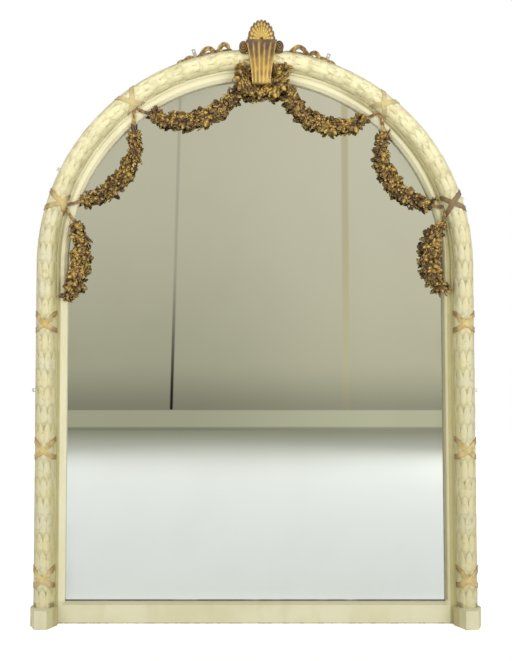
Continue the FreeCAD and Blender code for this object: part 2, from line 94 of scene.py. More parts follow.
def turns(name, description, first, second):
    """Two angles, given in degrees."""
    return FloatVectorProperty(name=name, description=description, size=2, unit="ROTATION",
                               default=(math.radians(first), math.radians(second)))


def power(name, description, watts):
    return FloatProperty(name=name, description=description, default=watts, unit="POWER")


def colour(name, description, red, green, blue):
    return FloatVectorProperty(name=name, description=description, subtype="COLOR", size=3, min=0.0, max=1.0,
                               default=linear(red, green, blue))


class PaintSettings(bpy.types.PropertyGroup):
    cream: colour("Cream", "Clean paint on the frame", 217, 213, 177)
    ivory: colour("Ivory", "Palest patches of the paint", 226, 222, 191)
    leaf: colour("Leaf cream", "Yellower paint on the carved leaves", 230, 221, 174)
    # Painted light: lifts the leaves round the arch, which the lamps leave darker than the stiles.
    arch_light: colour("Fresh", "Cleaner paint on the leaves round the arch", 252, 245, 200)
    # Painted light: lightens the slip round the arch and on the left, which face the light.
    pale: colour("Pale", "Clean pale paint on the slip round the arch", 250, 244, 208)
    # Also painted shade: on the right slip, the side facets of the plinths, the lower and right leaves and
    # where the leaves dip.
    olive: colour("Olive", "Paint in the hollows, where the old glaze has gathered", 180, 172, 118)
    # Also painted shade: in the corners at the plinths, along the rim and between the leaves, and on the
    # sight edge of the right slip.
    grime_and_shade: colour("Grime", "Brown dirt in corners and between the leaves", 122, 104, 66)
    # Also painted shade on faces that look up, such as the rail bevel and the plinth tops, which the light
    # from below misses.
    dust_and_shade: colour("Dust", "Grey dust on faces that look up", 166, 165, 133)
    pine: colour("Pine", "Bare wood at the back", 176, 137, 88)
    pine_dark: colour("Pine grain", "Late wood in the grain of the pine", 132, 92, 52)
    gap: colour("Gap", "Dark gaps between the boards at the back", 52, 38, 26)


class GiltSettings(bpy.types.PropertyGroup):
    gold: colour("Gold", "Rubbed gilding on high places", 220, 189, 102)
    bronze: colour("Bronze", "Toned gilding on the slopes", 162, 131, 80)
    umber: colour("Umber", "Dark ground in the hollows of the gilding", 102, 80, 62)


class MetalSettings(bpy.types.PropertyGroup):
    plate: colour("Plate steel", "Steel of the wall plates", 206, 206, 200)
    screw: colour("Screw steel", "Steel of the screws", 120, 116, 108)
    rust: colour("Rust", "Spots of rust on the steel", 98, 70, 48)


class LaurelSettings(bpy.types.PropertyGroup):
    row_pitch: length("Row pitch", "Distance from one row of leaves to the next", 0.0506)
    first_row: length("First row", "How far the first row starts below the top of the plinth", 0.017)
    leaf_length: length("Leaf length", "Length of a laurel leaf", 0.070)
    leaf_width: length("Leaf width", "Width of a laurel leaf", 0.0205)
    leaf_gap: length("Leaf gap", "Distance across the half-round from one leaf of a row to the next", 0.019)
    edge_leaf: length("Edge leaf", "Distance of the narrow leaves of a row from the crown", 0.037)
    leaf_swell: length("Leaf swell", "Height of the middle of a leaf over its edges", 0.0015)
    tip_lift: length("Tip lift", "Height of the tip of a leaf over the half-round", 0.0019)
    row_count: IntProperty(name="Rows", description="Rows of leaves on each side", default=37, min=1)


class RibbonSettings(bpy.types.PropertyGroup):
    first_tie: length("First tie", "Height of the lowest crossed ribbon", 0.1285)
    tie_pitch: length("Tie pitch", "Distance between the ribbons on a stile", 0.3545)
    left_turns: turns("Left turns", "Turns along the arch to the ribbons on its left", 17.4, 52.8)
    right_turns: turns("Right turns", "Turns along the arch to the ribbons on its right", 17.0, 51.1)
    left_lean: length("Left lean", "How far inside the crown the left ribbons of the arch cross", 0.018)
    right_lean: length("Right lean", "How far inside the crown the right ribbons of the arch cross", 0.008)
    width: length("Width", "Width of a ribbon", 0.0142)
    stile_rise: length("Stile rise", "How far a ribbon on a stile climbs from crossing to edge", 0.025)
    stile_droop: length("Stile droop", "How far such a crossing hangs below the middle of its ends", 0.006)
    arch_rise: length("Arch rise", "How far a ribbon on the arch runs from crossing to edge", 0.026)
    lift: length("Lift", "Height of a ribbon over the half-round", 0.0040)
    hanger_width: length("Hanger width", "Width of the ribbons that hold the swags", 0.0095)
    hanger_thickness: length("Hanger thickness", "Thickness of those ribbons", 0.0040)
    hanger_sag: length("Hanger sag", "How far the middle of such a ribbon hangs down", 0.005)
    bow_width: length("Bow width", "Width of the ribbon of a bow", 0.0135)
    bow_thickness: length("Bow thickness", "Thickness of the ribbon of a bow", 0.0080)
    bow_depth: length("Bow depth", "Distance of the back strand of a bow from the wall", 0.047)
    bow_step: length("Bow step", "How far the front strand of a bow lies before the back one", 0.003)


class SwagSettings(bpy.types.PropertyGroup):
    flower_radius: length("Flower radius", "Radius of an open flower", 0.0115)
    flower_gap: length("Flower gap", "Least distance between flowers", 0.0125)
    leaf_length: length("Leaf length", "Length of a small leaf among the flowers", 0.0215)
    leaf_gap: length("Leaf gap", "Least distance between small leaves", 0.0075)
    sink: length("Sink", "How far the core lies inside the outline of a swag", 0.009)
    seed: IntProperty(name="Seed", description="Arrangement of the flowers", default=7)


class CrestSettings(bpy.types.PropertyGroup):
    flutes: IntProperty(name="Flutes", description="Hollows down the face of the keystone", default=5, min=1)
    flute_depth: length("Flute depth", "Depth of a hollow in the keystone", 0.0055)
    flare: length("Flare", "How far the top of the keystone spreads on each side", 0.0035)
    roll: length("Roll", "Height of the rolled top of the keystone", 0.022)
    slant: length("Slant", "How far the foot of the keystone lies behind its top", 0.026)
    hollow: length("Hollow", "How far the face of the keystone is hollowed between foot and top", 0.005)
    lobes: IntProperty(name="Lobes", description="Lobes round the rim of the shell", default=11, min=3)
    rib_height: length("Rib height", "Height of the ribs of the shell", 0.0040)


class PlateSettings(bpy.types.PropertyGroup):
    silver: colour("Silver", "Tint of the reflection", 226, 231, 227)
    silver_depth: length("Silver depth", "How far the silver lies behind the front of the glass", 0.0003)
    tarnish: colour("Tarnish", "Tint of clouds in the silver", 120, 116, 98)
    # Painted shadow: a dark band along the foot of the plate.
    foot_shadow: colour("Bare edge", "Tint of the foot of the plate, where the silver has gone", 84, 80, 62)


class StageSettings(bpy.types.PropertyGroup):
    camera_place: FloatVectorProperty(name="Camera place", description="Where the camera stands",
                                      default=(-0.090, -2.640, 0.692), subtype="TRANSLATION")
    camera_pitch: FloatProperty(name="Camera pitch", description="Turn of the camera up from level",
                                default=math.radians(2.8), subtype="ANGLE")
    camera_lens: FloatProperty(name="Lens", description="Focal length", default=50.0, unit="CAMERA")
    camera_shift: FloatProperty(name="Shift", description="Sideways shift of the lens", default=0.0496)
    backdrop_distance: length("Backdrop", "Distance of the backdrop in front of the mirror", 9.0)
    backdrop_top: colour("Backdrop top", "Backdrop high up, as the mirror shows it", 184, 182, 159)
    backdrop_foot: colour("Backdrop foot", "Backdrop low down, as the mirror shows it", 148, 147, 124)
    ledge: colour("Ledge", "Colour of the ledge along the foot of the backdrop", 156, 157, 132)
    seam: colour("Seam", "Tape over the right seam of the backdrop", 166, 158, 122)
    key: power("Key", "Power of the main lamp", 78.0)
    fill: power("Fill", "Power of the fill lamp", 40.0)
    foot: power("Foot", "Power of the low lamp that looks up at the arch", 6.0)
    ambient: FloatProperty(name="Ambient", description="Strength of the soft light all round", default=0.75)


class OvermantelSettings(bpy.types.PropertyGroup):
    paint: PointerProperty(type=PaintSettings)
    gilt: PointerProperty(type=GiltSettings)
    metal: PointerProperty(type=MetalSettings)
    laurel: PointerProperty(type=LaurelSettings)
    ribbon: PointerProperty(type=RibbonSettings)
    swag: PointerProperty(type=SwagSettings)
    crest: PointerProperty(type=CrestSettings)
    plate: PointerProperty(type=PlateSettings)
    stage: PointerProperty(type=StageSettings)


def settings():
    return bpy.context.scene.overmantel


# Node helpers

def feed(tree, socket, value):
    """Link a socket to another one, or set its constant."""
    if isinstance(value, bpy.types.NodeSocket):
        tree.links.new(value, socket)
    else:
        socket.default_value = value


def add(tree, kind, inputs=None, **values):
    """Add a node, set its values, and feed its inputs with constants or with other sockets."""
    node = tree.nodes.new(kind)
    for key, value in values.items():
        setattr(node, key, value)
    for key, value in (inputs or {}).items():
        feed(tree, node.inputs[key], value)
    return node


def calc(tree, operation, first, second=0.0, third=0.0):
    return add(tree, "ShaderNodeMath", {0: first, 1: second, 2: third}, operation=operation).outputs[0]


def ramp(tree, value, low, high, start=0.0, end=1.0):
    """Smooth step of a value from low to high."""
    node = add(tree, "ShaderNodeMapRange",
               {"Value": value, "From Min": low, "From Max": high, "To Min": start, "To Max": end},
               interpolation_type="SMOOTHSTEP")
    return node.outputs["Result"]


def blend(tree, share, first, second):
    """Colour between two colours, each a constant or a socket."""
    node = add(tree, "ShaderNodeMix", {0: share}, data_type="RGBA")
    for key, tint in ((6, first), (7, second)):
        if not isinstance(tint, bpy.types.NodeSocket):
            tint = tuple(tint)[:3] + (1.0,)
        feed(tree, node.inputs[key], tint)
    return node.outputs[2]


class Finish:
    """A new material with its shader, its colour so far, and the coordinates that its patterns read."""

    def __init__(self, name):
        self.material = bpy.data.materials.new(name)
        self.material.use_nodes = True
        self.tree = self.material.node_tree
        self.shader = self.tree.nodes["Principled BSDF"]
        self.spot = add(self.tree, "ShaderNodeTexCoord").outputs["Object"]
        axes = add(self.tree, "ShaderNodeSeparateXYZ", {0: self.spot})
        self.x, self.y, self.z = axes.outputs
        self.base = None

    def normal(self, axis):
        """Share of the face's direction along X, Y or Z."""
        normal = add(self.tree, "ShaderNodeNewGeometry").outputs["Normal"]
        return add(self.tree, "ShaderNodeSeparateXYZ", {0: normal}).outputs[axis]

    def upward(self):
        """1 on faces that look up and 0 on upright ones."""
        return self.ramp(self.normal("Z"), 0.25, 0.9)

    def sideways(self):
        """1 on faces that look to the left or right and 0 on those that look to the front."""
        return self.ramp(calc(self.tree, "ABSOLUTE", self.normal("X")), 0.3, 0.65)

    def towards_arch(self, span, start=0.0, end=1.0):
        """Smooth step over a span of height, where the paint of the stiles gives way to that of the arch."""
        return self.ramp(self.z, arch_foot, arch_foot + span, start, end)

    def relief(self):
        return add(self.tree, "ShaderNodeAttribute", attribute_name="relief").outputs["Fac"]

    def inward(self):
        """Distance in from the outer edge of the frame, up the stiles and round the arch."""
        above = calc(self.tree, "MAXIMUM", calc(self.tree, "SUBTRACT", self.z, spring), 0.0)
        across = calc(self.tree, "MULTIPLY", self.x, self.x)
        reach = calc(self.tree, "SQRT", calc(self.tree, "MULTIPLY_ADD", above, above, across))
        return calc(self.tree, "SUBTRACT", outer_edge, reach)

    def patches(self, scale, low, high, detail=3.0, stretch=None):
        """Patches of noise, as a share from 0 to 1."""
        spot = self.spot
        if stretch:
            spot = add(self.tree, "ShaderNodeMapping", {"Vector": spot, "Scale": stretch}).outputs[0]
        noise = add(self.tree, "ShaderNodeTexNoise", {"Vector": spot, "Scale": scale, "Detail": detail})
        return self.ramp(noise.outputs["Fac"], low, high)

    def mix(self, share, first, second):
        return blend(self.tree, share, first, second)

    def times(self, first, *others):
        for other in others:
            first = calc(self.tree, "MULTIPLY", first, other)
        return first

    def plus(self, first, second):
        return calc(self.tree, "ADD", first, second)

    def ramp(self, value, low, high, start=0.0, end=1.0):
        return ramp(self.tree, value, low, high, start, end)

    def coat(self, tint, *shares):
        """Lay a colour over the colour so far, in the product of some shares."""
        self.base = self.mix(self.times(*shares), self.base, tint)

    def bump(self, height, strength, distance):
        node = add(self.tree, "ShaderNodeBump",
                   {"Height": height, "Strength": strength, "Distance": distance})
        self.tree.links.new(node.outputs[0], self.shader.inputs["Normal"])

    def roughen(self, scale, strength=0.3, distance=0.0004):
        """Fine unevenness all over the surface."""
        self.bump(self.patches(scale, 0.2, 0.8), strength, distance)

    def done(self, roughness, metallic=0.0):
        for key, value in (("Base Color", self.base), ("Roughness", roughness), ("Metallic", metallic)):
            feed(self.tree, self.shader.inputs[key], value)
        return self.material


def cream_paint(name, dust_and_shade, side_shade=0.0):
    """Old paint on the plain members: pale on the slip, with painted light round the arch and on the left;
    olive in its cove and painted shade on the right; dusty, with painted shade, on the ledges.
    """
    paint = settings().paint
    look = Finish(name)
    look.base = look.mix(look.patches(7.0, 0.35, 0.65), paint.cream, paint.ivory)
    inward = look.inward()
    arch = look.towards_arch(0.4)
    # Painted light on the slip round the arch and on the left, and painted shade on the slip of the right,
    # which faces away from the light.
    left = look.ramp(look.x, 0.42, 0.18, 0.3, 1.0)
    right = look.times(look.ramp(look.x, 0.2, 0.5), look.towards_arch(0.3, 1.0, 0.0))
    above_rail = look.ramp(look.z, rail_top, rail_top + 0.008)
    slip = look.times(look.ramp(inward, slip_start - 0.008, slip_start - 0.001), above_rail)
    look.coat(paint.pale, slip, left, look.ramp(arch, 0.0, 1.0, 0.5, 0.95))
    look.coat(paint.olive, slip, right, 0.3)
    # Painted shade on the sight edge of the right slip, which faces away from the light.
    shaded_lip = look.ramp(inward, sight_edge - 0.006, sight_edge - 0.003)
    look.coat(paint.grime_and_shade, shaded_lip, right, above_rail, 0.6)
    # Olive glaze in the cove with painted shade: the band is wider on the right and faint on the lit left of
    # the arch.
    edge = look.plus(inward, look.times(right, -0.007))
    lit_arch = look.times(arch, look.ramp(look.x, 0.4, 0.15))
    cove = look.times(look.ramp(inward, slip_start - 0.003, slip_start),
                      look.ramp(edge, slip_start + 0.0085, slip_start + 0.0060),
                      look.ramp(lit_arch, 1.0, 0.0, 0.1, 0.9))
    rim = look.times(look.ramp(inward, 0.006, 0.001), 0.5)
    look.coat(paint.olive, look.plus(cove, rim), look.patches(30.0, -0.2, 0.5))
    # Dusty grey with painted shade on faces that look up.
    look.coat(paint.dust_and_shade, look.upward(), dust_and_shade)
    # Painted shade on faces that look to the sides, such as the side facets of the plinths.
    look.coat(paint.olive, look.sideways(), side_shade)
    streaks = look.patches(16.0, 0.52, 0.75, stretch=(1.0, 1.0, 0.25))
    look.coat(paint.olive, streaks, 0.16)
    foot = look.ramp(look.z, 0.004, 0.0005)
    look.coat(paint.grime_and_shade, foot, look.patches(60.0, 0.46, 0.62), 0.6)
    wood = look.ramp(look.y, -0.0035, -0.0015)
    look.coat(paint.pine, wood)
    look.roughen(220.0, 0.2, 0.0003)
    return look.done(look.ramp(look.patches(40.0, 0.3, 0.7), 0.0, 1.0, 0.42, 0.6))


def laurel_paint():
    """Paint on the carved leaves, rubbed pale on the crowns and olive between them, with painted shade
    between the leaves and in the corners at the plinths, and painted light round the arch.
    """
    paint = settings().paint
    look = Finish("laurel_paint")
    relief = look.relief()
    inward = look.inward()
    look.base = look.mix(look.patches(12.0, 0.35, 0.65), paint.leaf, paint.ivory)
    # Painted light on the leaves round the arch.
    look.coat(paint.arch_light, look.towards_arch(0.5))
    # Olive glaze with painted shade where the leaves dip, less of it round the arch.
    hollow_shade = look.plus(relief, look.times(look.patches(60.0, 0.3, 0.7), 0.45))
    look.coat(paint.olive, look.ramp(hollow_shade, 0.85, 0.1), look.towards_arch(0.3, 0.5, 0.3))
    flecks = look.patches(85.0, 0.54, 0.7)
    look.coat(paint.olive, flecks, 0.4)
    # Dirt and painted shade in the hollows between the leaves.
    hollow = look.ramp(relief, 0.2, 0.0)
    look.coat(paint.grime_and_shade, hollow, look.patches(40.0, 0.48, 0.66), look.towards_arch(0.3, 0.5, 0.25))
    clouds = look.patches(28.0, 0.42, 0.7)
    look.coat(paint.olive, clouds, look.towards_arch(0.2, 0.0, 0.3))
    # Painted shade: the leaves grow more olive towards the bottom and a little more on the right.
    low = look.ramp(look.z, 1.3, 0.1)
    look.coat(paint.olive, low, look.ramp(look.x, -0.5, 0.55, 0.13, 0.25))
    flank = look.ramp(inward, 0.040, 0.055)
    look.coat(paint.olive, flank, look.patches(25.0, 0.1, 0.55), look.towards_arch(0.4, 0.6, 0.35))
    # Dirt with painted shade along the outer rim, heavier on faces that look up.
    rim = look.ramp(inward, 0.024, 0.006)
    dusty = look.plus(look.times(look.upward(), 0.45), 0.25)
    look.coat(paint.grime_and_shade, rim, look.patches(25.0, 0.0, 0.6), dusty)
    # Painted shadow in the corners where the leaves meet the plinths.
    corner_shadow = look.plus(look.ramp(inward, 0.017, 0.010), look.ramp(inward, 0.046, 0.053))
    look.coat(paint.grime_and_shade, corner_shadow, look.ramp(look.z, plinth_top + 0.018, plinth_top + 0.010), 0.7)
    look.roughen(240.0, 0.2, 0.0003)
    return look.done(look.ramp(look.patches(40.0, 0.3, 0.7), 0.0, 1.0, 0.42, 0.62))


def moulding_ground():
    """Glaze-dark paint on the half-round under the leaves, dark as painted shade where it shows between them.
    """
    paint = settings().paint
    look = Finish("moulding_ground")
    look.base = look.mix(look.patches(30.0, 0.3, 0.7), paint.olive, paint.grime_and_shade)
    look.coat(paint.olive, 0.55)
    look.roughen(200.0)
    return look.done(0.62)


def gilding(name, brightness=0.0, spread=0.4, scale=45.0):
    """Gilding that is gold on the high places and umber in the hollows; brightness moves it to gold."""
    gilt = settings().gilt
    look = Finish(name)
    relief = look.plus(look.relief(), look.times(look.patches(scale, 0.3, 0.7), spread))
    relief = look.plus(relief, brightness - spread / 2)
    look.base = look.mix(look.ramp(relief, 0.0, 0.5), gilt.umber, gilt.bronze)
    look.coat(gilt.gold, look.ramp(relief, 0.45, 0.95))
    look.roughen(320.0)
    return look.done(look.ramp(relief, 0.1, 0.9, 0.58, 0.38), look.ramp(relief, 0.1, 0.9, 0.1, 0.4))


def ribbon_wash():
    """Thin gilding over the paint: gold where the ribbons cross, worn along them and brown at their ends.

    The lowest ribbon on the right of the arch is smoked.
    """
    gilt = settings().gilt
    paint = settings().paint
    look = Finish("ribbon_wash")
    relief = look.plus(look.relief(), look.times(look.patches(50.0, 0.3, 0.7), 0.2))
    end = look.mix(look.times(look.patches(90.0, 0.35, 0.65), 0.6), gilt.bronze, gilt.umber)
    worn = look.mix(look.times(look.patches(35.0, 0.35, 0.65), 0.6), gilt.bronze, gilt.gold)
    worn = look.mix(look.ramp(look.patches(60.0, 0.3, 0.7), 0.0, 1.0, 0.15, 0.5), worn, paint.leaf)
    look.base = look.mix(look.ramp(relief, 0.15, 0.65), end, worn)
    crossing = look.mix(look.times(look.patches(70.0, 0.35, 0.65), 0.5), gilt.gold, paint.leaf)
    look.coat(crossing, look.ramp(relief, 0.7, 1.15))
    look.coat(paint.leaf, look.ramp(look.z, 1.25, 1.4, 0.0, 0.35))
    smoked = look.times(look.ramp(look.z, 1.08, 1.12), look.ramp(look.z, 1.32, 1.28))
    look.coat(gilt.umber, smoked, look.ramp(look.x, 0.40, 0.50), 0.75)
    look.roughen(320.0)
    return look.done(0.55)


def bare_pine(name, along, joints=()):
    """Unpainted pine with its grain along X, Y or Z; the boards that meet at the joints differ in tone."""
    paint = settings().paint
    look = Finish(name)
    tones = (0.30, 0.12, 0.38, 0.05, 0.24)
    gap_edge, gap_heart = 0.0022, 0.0008
    stretch = [26.0, 26.0, 26.0]
    stretch["XYZ".index(along)] = 1.2
    grain = look.patches(4.5, 0.35, 0.65, 5.0, stretch)
    look.base = look.mix(look.times(grain, 0.7), paint.pine, paint.pine_dark)
    for number, height in enumerate(joints):
        board = look.ramp(look.z, height, height + 0.0005)
        look.coat(paint.pine_dark if number % 2 else paint.pine, board, tones[number % len(tones)])
        look.coat(paint.gap, look.ramp(look.z, height - gap_edge, height - gap_heart),
                  look.ramp(look.z, height + gap_edge, height + gap_heart), 0.75)
    look.coat(paint.grime_and_shade, look.patches(5.0, 0.4, 0.75), 0.45)
    look.bump(grain, 0.3, 0.0005)
    return look.done(0.72)


def old_steel(name, tint, rust):
    """Old steel, dulled and spotted with rust."""
    look = Finish(name)
    spots = look.times(look.patches(130.0, 0.5, 0.7), rust)
    look.base = look.mix(spots, tint, settings().metal.rust)
    look.roughen(400.0, 0.2, 0.0003)
    return look.done(look.ramp(spots, 0.0, 1.0, 0.38, 0.75), look.ramp(spots, 0.0, 1.0, 0.85, 0.2))


def silvering():
    """Silver behind glass, in faint broad clouds that grow a little towards its edge, with a painted shadow
    along its foot.
    """
    plate = settings().plate
    look = Finish("silvering")
    edge = look.ramp(look.inward(), sight_edge + 0.03, sight_edge)
    cloud = look.times(look.patches(5.0, 0.4, 0.8), look.plus(look.times(edge, 0.1), 0.04))
    look.base = look.mix(cloud, plate.silver, plate.tarnish)
    # Painted shadow: a dark band along the foot of the plate, above the rail.
    dark = look.ramp(look.z, rail_top + 0.0045, rail_top + 0.0025)
    look.coat(plate.foot_shadow, dark, look.patches(20.0, 0.0, 0.5), 0.85)
    return look.done(0.012, 1.0)


# Mesh helpers

def keep(name, mesh, material=None, replaces=()):
    """Turn a mesh into a finished piece of the object."""
    piece = bpy.data.objects.new(name, mesh)
    bpy.context.scene.collection.objects.link(piece)
    if material:
        mesh.materials.clear()
        mesh.materials.append(material)
    for polygon in mesh.polygons:
        polygon.use_smooth = True
    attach(piece, "root")
    if replaces:
        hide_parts(*replaces)
    return piece


def numbered(name, count):
    return ["%s_%d" % (name, number) for number in range(1, count + 1)]


def dress(material, *names):
    """Give a material to CAD nodes that stay as they are."""
    for name in names:
        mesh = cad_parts[name].data
        mesh.materials.clear()
        mesh.materials.append(material)


class Sculpt:
    """A mesh under construction, with the relief of each point from 0 in a hollow to 1 on a height."""

    def __init__(self):
        self.mesh = bmesh.new()
        self.layer = self.mesh.verts.layers.float.new("relief")

    def point(self, place, relief):
        vert = self.mesh.verts.new(place)
        vert[self.layer] = relief
        return vert

    def strip(self, first, second, closed):
        """Faces between two rows of points."""
        count = len(first)
        for number in range(count if closed else count - 1):
            after = (number + 1) % count
            self.mesh.faces.new((first[number], first[after], second[after], second[number]))

    def skin(self, rows, closed=True, caps=True):
        """Faces over a list of rows, with caps on the first and last of closed rows."""
        for first, second in zip(rows, rows[1:]):
            self.strip(first, second, closed)
        if closed and caps:
            self.mesh.faces.new(rows[0])
            self.mesh.faces.new(rows[-1])

    def finished(self, name, merge=1e-6):
        bmesh.ops.remove_doubles(self.mesh, verts=self.mesh.verts, dist=merge)
        bmesh.ops.dissolve_degenerate(self.mesh, edges=self.mesh.edges, dist=merge)
        bmesh.ops.recalc_face_normals(self.mesh, faces=self.mesh.faces)
        mesh = bpy.data.meshes.new(name)
        self.mesh.to_mesh(mesh)
        self.mesh.free()
        return mesh


def merged(mesh):
    """Working copy of a CAD node's mesh, with its loose triangles joined."""
    work = bmesh.new()
    work.from_mesh(mesh)
    bmesh.ops.remove_doubles(work, verts=work.verts, dist=1e-5)
    return work


def separate_runs(mesh, parts):
    """Middle line of each separate long piece of a mesh, as a list of points."""
    work = merged(mesh)
    left = set(work.verts)
    lines = []
    for first in work.verts:
        if first not in left:
            continue
        left.remove(first)
        group = [first]
        for vert in group:
            for edge in vert.link_edges:
                other = edge.other_vert(vert)
                if other in left:
                    left.remove(other)
                    group.append(other)
        places = [vert.co.copy() for vert in group]
        middle = sum(places, Vector()) / len(places)
        start = max(places, key=lambda place: (place - middle).length)
        end = max(places, key=lambda place: (place - start).length)
        axis = end - start
        line = []
        for part in range(parts):
            near = [place for place in places
                    if part <= (place - start).dot(axis) / axis.length_squared * (parts - 1) + 0.5 < part + 1]
            if near:
                line.append(sum(near, Vector()) / len(near))
        lines.append(line)
    work.free()
    return lines


def grown(name, mesh, tree, values):
    """Plain mesh that a tree of geometry nodes makes from a mesh."""
    host = bpy.data.objects.new(name, mesh)
    bpy.context.scene.collection.objects.link(host)
    modifier = host.modifiers.new("grow", "NODES")
    modifier.node_group = tree
    for item in tree.interface.items_tree:
        if item.in_out == "INPUT" and item.name in values:
            modifier[item.identifier] = values[item.name]
    graph = bpy.context.evaluated_depsgraph_get()
    made = bpy.data.meshes.new_from_object(host.evaluated_get(graph), preserve_all_data_layers=True,
                                           depsgraph=graph)
    host.modifiers.remove(modifier)
    bpy.data.objects.remove(host)
    if not made.polygons:
        raise RuntimeError("no faces were grown for " + name)
    return made


def pattern(name, mesh):
    """Object that a tree of geometry nodes copies; it isn't in the scene itself."""
    return bpy.data.objects.new(name, mesh)


def new_tree(name, *sockets):
    """Geometry tree with named inputs, its group input and its group output."""
    tree = bpy.data.node_groups.new(name, "GeometryNodeTree")
    tree.interface.new_socket("Geometry", in_out="INPUT", socket_type="NodeSocketGeometry")
    for label, kind in sockets:
        tree.interface.new_socket(label, in_out="INPUT", socket_type="NodeSocket" + kind)
    tree.interface.new_socket("Geometry", in_out="OUTPUT", socket_type="NodeSocketGeometry")
    return tree, add(tree, "NodeGroupInput"), add(tree, "NodeGroupOutput")


def follow_frame(tree, given, geometry):
    """Bend what stands straight along Z up the stile and round the arch, on the right or on the left."""
    axes = add(tree, "ShaderNodeSeparateXYZ", {0: add(tree, "GeometryNodeInputPosition").outputs[0]})
    run = axes.outputs["Z"]
    straight = given.outputs["Straight Length"]
    radius = given.outputs["Arch Radius"]
    side = given.outputs["Side"]
    turn = calc(tree, "DIVIDE", calc(tree, "MAXIMUM", calc(tree, "SUBTRACT", run, straight), 0.0), radius)
    reach = calc(tree, "ADD", radius, axes.outputs["X"])
    across = calc(tree, "MULTIPLY", calc(tree, "MULTIPLY", reach, calc(tree, "COSINE", turn)), side)
    height = calc(tree, "MULTIPLY_ADD", reach, calc(tree, "SINE", turn), calc(tree, "MINIMUM", run, straight))
    place = add(tree, "ShaderNodeCombineXYZ", {"X": across, "Y": axes.outputs["Y"], "Z": height})
    bent = add(tree, "GeometryNodeSetPosition", {"Geometry": geometry, "Position": place.outputs[0]})
    turned = add(tree, "GeometryNodeFlipFaces",
                 {"Mesh": bent.outputs[0], "Selection": calc(tree, "LESS_THAN", side, 0.0)})
    smooth = add(tree, "GeometryNodeSetShadeSmooth", {"Geometry": turned.outputs[0]})
    return add(tree, "GeometryNodeSetMaterial",
               {"Geometry": smooth.outputs[0], "Material": given.outputs["Material"]}).outputs[0]


frame_sockets = (("Straight Length", "Float"), ("Arch Radius", "Float"), ("Side", "Float"),
                 ("Material", "Material"))
frame_values = {"Straight Length": spring, "Arch Radius": round_middle}


def two_kinds(tree, given, points, first, second, chosen):
    """Copies of one shape on the chosen points and of another on the rest, bent along the frame."""
    joined = add(tree, "GeometryNodeJoinGeometry")
    for label, share in ((first, chosen), (second, calc(tree, "SUBTRACT", 1.0, chosen))):
        shape = add(tree, "GeometryNodeObjectInfo", {"Object": given.outputs[label]})
        copies = add(tree, "GeometryNodeInstanceOnPoints",
                     {"Points": points, "Selection": share, "Instance": shape.outputs["Geometry"]})
        tree.links.new(copies.outputs[0], joined.inputs[0])
    real = add(tree, "GeometryNodeRealizeInstances", {0: joined.outputs[0]})
    return follow_frame(tree, given, real.outputs[0])


def laurel_tree():
    """Rows of leaves, two kinds in turn, along the moulding of one side."""
    tree, given, out = new_tree("laurel_rows", ("Odd Row", "Object"), ("Even Row", "Object"), ("Rows", "Int"),
                                ("Row Pitch", "Float"), ("First Row", "Float"), *frame_sockets)
    start = add(tree, "ShaderNodeCombineXYZ", {"Z": given.outputs["First Row"]})
    step = add(tree, "ShaderNodeCombineXYZ", {"Z": given.outputs["Row Pitch"]})
    line = add(tree, "GeometryNodeMeshLine",
               {"Count": given.outputs["Rows"], "Start Location": start.outputs[0],
                "Offset": step.outputs[0]})
    odd = calc(tree, "MODULO", add(tree, "GeometryNodeInputIndex").outputs[0], 2.0)
    rows = two_kinds(tree, given, line.outputs[0], "Odd Row", "Even Row", odd)
    tree.links.new(rows, out.inputs[0])
    return tree


def tie_tree():
    """A crossed ribbon at each point of the given mesh, one kind up the stile and another round the arch."""
    tree, given, out = new_tree("ribbon_ties", ("Stile Ribbon", "Object"), ("Arch Ribbon", "Object"),
                                *frame_sockets)
    place = add(tree, "ShaderNodeSeparateXYZ", {0: add(tree, "GeometryNodeInputPosition").outputs[0]})
    curved = calc(tree, "GREATER_THAN", place.outputs["Z"], given.outputs["Straight Length"])
    ribbons = two_kinds(tree, given, given.outputs[0], "Arch Ribbon", "Stile Ribbon", curved)
    tree.links.new(ribbons, out.inputs[0])
    return tree


def bend_tree():
    """Bends a straight strip up the stile and round the arch."""
    tree, given, out = new_tree("bent_strip", *frame_sockets)
    tree.links.new(follow_frame(tree, given, given.outputs[0]), out.inputs[0])
    return tree


def scattered(tree, surface, shapes, gap, seed, least, most):
    """Copies of some shapes on a surface, at least a gap apart, each with its own turn and size."""
    spread = add(tree, "GeometryNodeDistributePointsOnFaces",
                 {"Mesh": surface, "Distance Min": gap, "Density Max": 40000.0, "Seed": seed},
                 distribute_method="POISSON")
    chooser = add(tree, "GeometryNodeJoinGeometry")
    for shape in shapes:
        copy = add(tree, "GeometryNodeObjectInfo", {"Object": shape, "As Instance": True})
        tree.links.new(copy.outputs["Geometry"], chooser.inputs[0])
    # A random value has its limits at inputs 2 and 3, or at 4 and 5 for a whole number
    pick = add(tree, "FunctionNodeRandomValue", {4: 0, 5: len(shapes) - 1, "Seed": seed}, data_type="INT")
    spin = add(tree, "FunctionNodeRandomValue", {2: 0.0, 3: math.tau, "Seed": seed}, data_type="FLOAT")
    size = add(tree, "FunctionNodeRandomValue", {2: least, 3: most, "Seed": seed}, data_type="FLOAT")
    facing = add(tree, "FunctionNodeAlignRotationToVector", {"Vector": spread.outputs["Normal"]}, axis="Z")
    about = add(tree, "ShaderNodeCombineXYZ", {"Z": spin.outputs[1]})
    turned = add(tree, "FunctionNodeRotateRotation",
                 {"Rotation": facing.outputs[0], "Rotate By": about.outputs[0]}, rotation_space="LOCAL")
    copies = add(tree, "GeometryNodeInstanceOnPoints",
                 {"Points": spread.outputs["Points"], "Instance": chooser.outputs[0], "Pick Instance": True,
                  "Instance Index": pick.outputs[2], "Rotation": turned.outputs[0], "Scale": size.outputs[1]})
    return copies.outputs[0]


